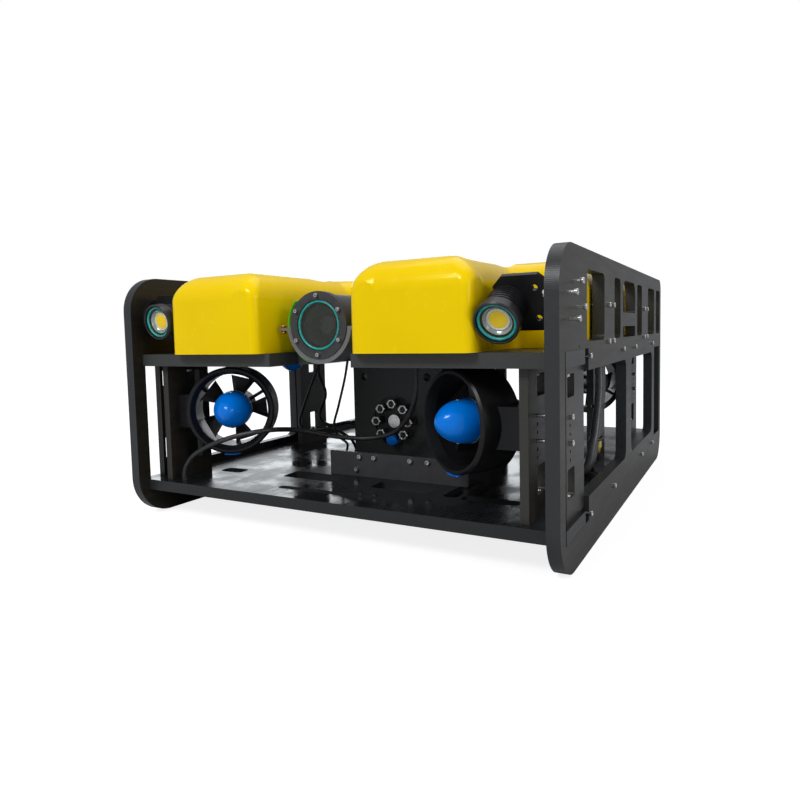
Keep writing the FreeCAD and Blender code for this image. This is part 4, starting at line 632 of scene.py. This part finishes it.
def socket_screws():
    """Every screw of the group again, with its socket, knurl, thread and nut.

    The socket is a hexagon in the head; the knurl takes a share of the head's radius off with the cosine
    of 12 times the angle; the thread steps in and out every half pitch.
    """
    def knurled(r, h, t):
        in_socket = (h > 0.001) & (h < 0.0038) & (r < 0.0017)
        on_head = (h > 0.0002) & (h < 0.0032) & (r > 0.0025)
        return np.where(in_socket, hexagon(t), np.where(on_head, 1 - 0.015 * (1 + np.cos(12 * t)), 1.0))

    points, faces = [], []

    def add(profile, seat, way, count, shape=None):
        faces.extend(grid_faces(len(profile), count, sum(map(len, points))))
        points.append(lathe_points(profile, seat, way, count, shape))

    for solid in islands(nodes["cap_screws"]):
        seat, way, head, shank, length, nut = read_screw(solid)
        key = head * 0.42
        add([(0, 0), (shank, 0), (head * 0.97, 0), (head, 0.0003), (head, 0.0031), (head * 0.985, 0.0034),
             (head * 0.9, HEAD_HEIGHT), (key * 1.22, HEAD_HEIGHT), (key, 0.0037), (key, 0.0016), (0, 0.0012)],
            seat, way, 48, knurled)
        plain = max(0.0, length - THREAD_LENGTH)
        steps = np.arange(2 * int((length - plain) / THREAD_PITCH))
        thread = np.stack([np.where(steps % 2, shank, shank * 0.88),
                           -plain - 0.0002 - THREAD_PITCH / 2 * steps], -1)
        add([(0, 0), (shank, -0.0001), (shank, -plain - 0.0001)] + thread.tolist() + [(0, -length)],
            seat, way, 12)
        if nut is not None:
            add([(0.002, -nut), (0.0031, -nut), (0.0034, -nut - 0.0004), (0.0034, -nut - 0.0028),
                 (0.0031, -nut - 0.0032), (0.002, -nut - 0.0032), (0.002, -nut)],
                seat, way, 24, hexagon_beyond(0.0025))
    obj = new_object("socket_screws", np.concatenate(points), faces, "stainless")
    edge = obj.modifiers.new("crisp", "EDGE_SPLIT")
    edge.split_angle = math.radians(40)
    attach(obj, "root")
    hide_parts("cap_screws")


# --------------------------------------------------------------------------
# Lights
# --------------------------------------------------------------------------


def joint_named(name):
    """A joint's entry in the frame's record."""
    return next(j for j in frame["record"]["behaviour"]["joints"] if j["name"] == name)


def middle(node):
    """The middle of a node's box."""
    low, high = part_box(node)
    return (np.array(low) + np.array(high)) / 2


def light_faces(side):
    """Dished reflector, white collar, phosphor dome, bezel lip and tail nut, all turned about the beam.

    The reflector rises with the 1.6th power of the share of its width; the dome is a flattened quarter
    circle turned.
    """
    body = f"light_{side}"
    pivot = np.array(joint_named(f"{body}_tilt")["pos_m"])
    centre = middle(f"{body}_lens")
    beam = centre - pivot
    beam[0] = 0
    reach = np.linalg.norm(beam)
    beam /= reach
    origin = np.array((centre[0], pivot[1], pivot[2]))
    seat = reach - 0.002

    def put(name, profile, look, ring=False):
        """Profile in millimetres, its heights counted from just behind the lens."""
        piece = lathe(f"{body}_{name}", [(r * MM, seat + h * MM) for r, h in profile], origin, beam, look, 64,
                      ring=ring)
        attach(piece, body)

    bowl = [(12.6 + 3.6 * s, -4.3 + 4.2 * s ** 1.6) for s in np.linspace(0, 1, 9)]
    put("reflector", bowl, "reflector_grey")
    put("collar", [(10.1, -4.9), (10.4, -3.4), (10.9, -3.0), (12.2, -3.0), (12.7, -3.4), (12.7, -4.6)],
        "white_collar", True)
    dome = [(10.05 * math.cos(a), -3.45 + 0.9 * math.sin(a)) for a in np.linspace(0, math.pi / 2, 10)]
    put("phosphor", dome, "led_yellow")
    put("bezel_lip", [(22.05, 5.2), (22.3, 5.75), (22.9, 5.85), (23.4, 5.65), (22.8, 5.2)],
        "lamp_black", True)
    put("tail_nut", [(20.05, -44.6), (21.3, -44.9), (21.6, -45.4), (21.6, -49.0), (21.3, -49.5),
                     (20.05, -49.8)], "anodised_black", True)


# --------------------------------------------------------------------------
# Camera
# --------------------------------------------------------------------------

# Metres: how far the lens sits to the right of the pivot, and the height of the saddle's left ear.
LENS_OFFSET = 0.002
EAR_HEIGHT = 0.2712


def camera_faces():
    """Lens barrel, stepped baffle and coated front glass, a turned cap of a sphere, on the tilting module."""
    pivot = np.array(joint_named("camera_tilt")["pos_m"])
    forward = np.array((0, -1.0, 0))
    at = pivot + np.array((LENS_OFFSET, 0, 0))

    def put(name, profile, look):
        piece = lathe(f"camera_{name}", metres(profile), at, forward, look, 64)
        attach(piece, "camera_module")

    put("barrel", [(11.1, 13.2), (11.6, 13.6), (11.6, 17.4), (11.2, 17.8), (11.2, 20.4), (11.9, 20.8),
                   (11.9, 30.6), (11.4, 31.6), (10.4, 32.2), (9.4, 32.2), (8.6, 31.2), (8.2, 28.8)],
        "lamp_black")
    put("baffle", [(8.2, 29.0), (6.6, 28.0), (5.6, 26.8), (5.0, 25.6)], "lamp_black")
    cup = [(8.2 * math.sin(a), 26.4 + 3.4 * math.cos(a) - 0.6) for a in np.linspace(0.0, 1.35, 10)]
    put("lens_glass", cup, "lens_coat")


def camera_mount():
    """The printed cradle's left lip, an arc round the camera's axis, and a brass bolt in the saddle's ear."""
    axis = middle("camera_tube")
    left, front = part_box("camera_saddle")[0][:2]
    lip = arc_band("cradle_lip", np.array((axis[0], front, axis[2])), np.array((0, 1.0, 0)),
                   np.radians(np.linspace(140, 246, 40)), np.array((1.0, 0, 0)), np.array((0, 0, 1.0)),
                   [(49.2, 4), (51.6, 4), (52.0, 4.5), (52.0, 30), (51.6, 30.5), (49.2, 30.5)],
                   "cradle_green")
    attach(lip, "root")
    profile = [(0, 3.2), (2.4, 3.2), (3.6, 2.8), (3.6, 0.2), (1.9, 0.2), (1.9, -4.2), (3.6, -4.2), (3.6, -8),
               (2.4, -8.4), (0, -8.4)]
    bolt = lathe("ear_bolt", metres(profile), np.array((left + 0.004, front + 0.005, EAR_HEIGHT)),
                 (0, 0, 1.0), "brass", 24, hexagon_beyond(0.003))
    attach(bolt, "root")


# --------------------------------------------------------------------------
# Thrusters
# --------------------------------------------------------------------------

THRUSTERS = [f"{end}_{side}" for end in ("front", "rear", "lift") for side in ("left", "right")]

# Millimetres: the nose's whole length, the part of it that curves, its radius and where its screws sit.
NOSE_LENGTH = 47.7
NOSE_CURVE = 44.0
NOSE_RADIUS = 27.0
NOSE_SCREW_BACK = 31.0


def nose_radius(back):
    """Radius of the nose in mm at a distance back from its tip: R * (1 - (1 - s)^2.3)^0.62, s = back / 44."""
    s = np.clip(np.asarray(back, float) / NOSE_CURVE, 0, 1)
    return NOSE_RADIUS * (1 - (1 - s) ** 2.3) ** 0.62


def nose_cone(name, tip, way):
    """The nose as one turned skin from its blunt tip to its base, in place of the plain solid."""
    backs = np.concatenate([[0, 0.15, 0.5, 1.1, 2.0, 3.2], np.linspace(4.8, NOSE_CURVE, 20),
                            [46.6, NOSE_LENGTH]])
    profile = [(float(nose_radius(back)), -back) for back in backs]
    profile += [(NOSE_RADIUS - 3, -NOSE_LENGTH), (0, -NOSE_LENGTH)]
    piece = lathe(f"nose_{name}", metres(profile), tip, way, "cone_blue", 96)
    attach(piece, f"propeller_{name}")
    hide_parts(f"thruster_{name}_nose_cone")


def thruster_faces(name):
    """The nose with two small screws and a thin lip round its base whose pale grey is a painted highlight,
    and on the four level thrusters a clip on the duct.

    The screws stand square to the nose: their tilt is the slope of its radius where they sit.
    """
    joint = joint_named(f"{name}_spin")
    tip = np.array(joint["pos_m"])
    axis = np.array(joint["axis"], float)
    lifts = name.startswith("lift")
    way = np.array((0, 0, -1.0)) if lifts else axis
    u, v = across(way)
    body = f"propeller_{name}"
    nose_cone(name, tip, way)
    # A thin ring at the nose's base, pale grey as a painted highlight of its lit edge.
    highlight_lip = lathe(f"{body}_gasket", metres([(26.4, -47.4), (27.15, -47.2), (27.3, -46.6), (27.15, -46.0),
                                             (26.9, -45.8)]), tip, way, "pale_rim", 72, ring=True)
    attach(highlight_lip, body)
    radius = float(nose_radius(NOSE_SCREW_BACK))
    slope = math.atan2(float(nose_radius(NOSE_SCREW_BACK + 1) - nose_radius(NOSE_SCREW_BACK - 1)), 2.0)
    for sign, where in ((-1, "low"), (1, "high")):
        place = tip - way * NOSE_SCREW_BACK * MM + sign * v * radius * MM
        normal = way * math.sin(slope) + sign * v * math.cos(slope)
        profile = metres([(2.2, -0.5), (2.2, 0.35), (1.9, 0.6), (0.9, 0.6), (0.8, -0.2), (0, -0.3)])
        screw = lathe(f"{body}_screw_{where}", profile, place, normal, "stainless", 24)
        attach(screw, body)
    if lifts:
        return
    clip = arc_band(f"duct_clip_{name}", tip, way, np.linspace(-0.17, 0.17, 13), -v, u,
                    [(62.6, -20.4), (63.6, -20.4), (64.0, -21.0), (64.0, -31.0), (63.6, -31.6),
                     (62.6, -31.6)], "clip_blue")
    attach(clip, "root")


# --------------------------------------------------------------------------
# Hull front and wiring
# --------------------------------------------------------------------------

PORT_CIRCLE = 0.0275
PORT_COUNT = 8
COVERED_PORT = 4


def hull_front():
    """A blue cover on the lowest port and a steel nut round each of the others."""
    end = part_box("penetrators")[0][1]
    cover_y, nut_y = end + 0.0005, end + 0.0065
    axis = middle("hull_tube")
    forward = np.array((0, -1.0, 0))
    profile = [(0, 1.2), (7.2, 1.2), (8.6, 0), (8.8, -1.2), (8.8, -10.5), (8.2, -11), (8.2, -1), (0, -0.4)]
    cover = lathe("test_cover", metres(profile), (axis[0], cover_y, axis[2] - PORT_CIRCLE), forward,
                  "cone_blue", 40)
    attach(cover, "root")
    profile = [(5.2, 0), (6.8, 0), (7.2, 0.5), (7.2, 4.2), (6.8, 4.7), (3.6, 5), (3.6, 0)]
    for number in range(PORT_COUNT):
        if number == COVERED_PORT:
            continue
        angle = number * TAU / PORT_COUNT
        at = (axis[0] + PORT_CIRCLE * math.sin(angle), nut_y, axis[2] + PORT_CIRCLE * math.cos(angle))
        nut = lathe(f"port_nut_{number}", metres(profile), at, forward, "stainless", 24,
                    hexagon_beyond(0.006), ring=True)
        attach(nut, "root")


def side_harness():
    """Two grey leads with ties behind the right window, and a yellow connector by them with its thin lead.

    A tie is a ring stretched sideways round both leads: its radius grows with the 1.5th power of sin t.
    """
    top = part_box("upper_deck")[0][2]
    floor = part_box("lower_deck")[1][2]
    lead_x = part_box("upper_deck")[1][0] - 0.03
    for number, back in enumerate((0.0, 0.0135)):
        path = [(lead_x, -0.058 + back, top), (lead_x + 0.002, -0.064 + back, top - 0.05),
                (lead_x, -0.078 + back, top - 0.1), (lead_x - 0.002, -0.088 + back, floor + 0.045),
                (lead_x - 0.012, -0.098 + back, floor + 0.008),
                (lead_x - 0.06, -0.1 + back * 2, floor + 0.0065)]
        lead = tube(f"harness_{number}", path, 0.0062, "lead_grey", 16)
        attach(lead, "root")
    for number, (y, z) in enumerate(((-0.066, top - 0.073), (-0.081, floor + 0.05))):
        tie = lathe(f"harness_tie_{number}", metres([(6.4, -2), (7.4, -2), (7.4, 2), (6.4, 2)]),
                    (lead_x, y + 0.0067, z), (0, 0, 1.0), "cable_black", 32,
                    lambda r, h, t: 1 + 1.02 * np.abs(np.sin(t)) ** 1.5, ring=True)
        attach(tie, "root")
    profile = [(0, 14), (4, 14), (5.2, 12), (5.2, 3), (6.4, 2), (6.4, -9), (4.8, -11), (3.4, -18), (0, -18)]
    plug = lathe("harness_connector", metres(profile), (lead_x - 0.004, -0.052, floor + 0.042),
                 (0, -0.35, 0.937), "clip_yellow", 32)
    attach(plug, "root")
    path = [(lead_x - 0.004, -0.048, floor + 0.028), (lead_x - 0.006, -0.04, floor + 0.012),
            (lead_x - 0.02, -0.05, floor + 0.004), (lead_x - 0.05, -0.06, floor + 0.004)]
    drop = tube("harness_drop", path, 0.003, "cable_black")
    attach(drop, "root")


def thin_leads():
    """Thin black leads that hang from the upper deck on the left and run inwards over the lower one."""
    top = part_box("upper_deck")[0][2]
    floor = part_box("lower_deck")[1][2]
    leads = (
        (0.0026, ((-0.205, -0.05, top), (-0.222, -0.052, top - 0.035), (-0.25, -0.05, 0.13),
                  (-0.262, -0.05, 0.095), (-0.24, -0.052, 0.082), (-0.19, -0.05, 0.088),
                  (-0.15, -0.05, floor + 0.02), (-0.14, -0.045, floor))),
        (0.0022, ((-0.149, -0.05, top), (-0.158, -0.05, 0.18), (-0.172, -0.052, 0.13),
                  (-0.184, -0.05, 0.095), (-0.172, -0.052, 0.075), (-0.15, -0.06, floor + 0.012),
                  (-0.142, -0.075, floor))),
        (0.0034, ((-0.215, -0.035, top), (-0.225, -0.036, 0.19), (-0.212, -0.035, 0.15),
                  (-0.226, -0.036, 0.11), (-0.205, -0.035, 0.092), (-0.16, -0.03, 0.098),
                  (-0.13, -0.03, 0.082), (-0.118, -0.03, floor))),
    )
    for number, (radius, path) in enumerate(leads):
        lead = tube(f"thin_lead_{number}", path, radius, "cable_black")
        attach(lead, "root")


aim_camera()
dress_world()
light_studio()
lay_floor()
dress_nodes()
socket_screws()
for side in ("left", "right"):
    light_faces(side)
camera_faces()
camera_mount()
for name in THRUSTERS:
    thruster_faces(name)
hull_front()
side_harness()
thin_leads()
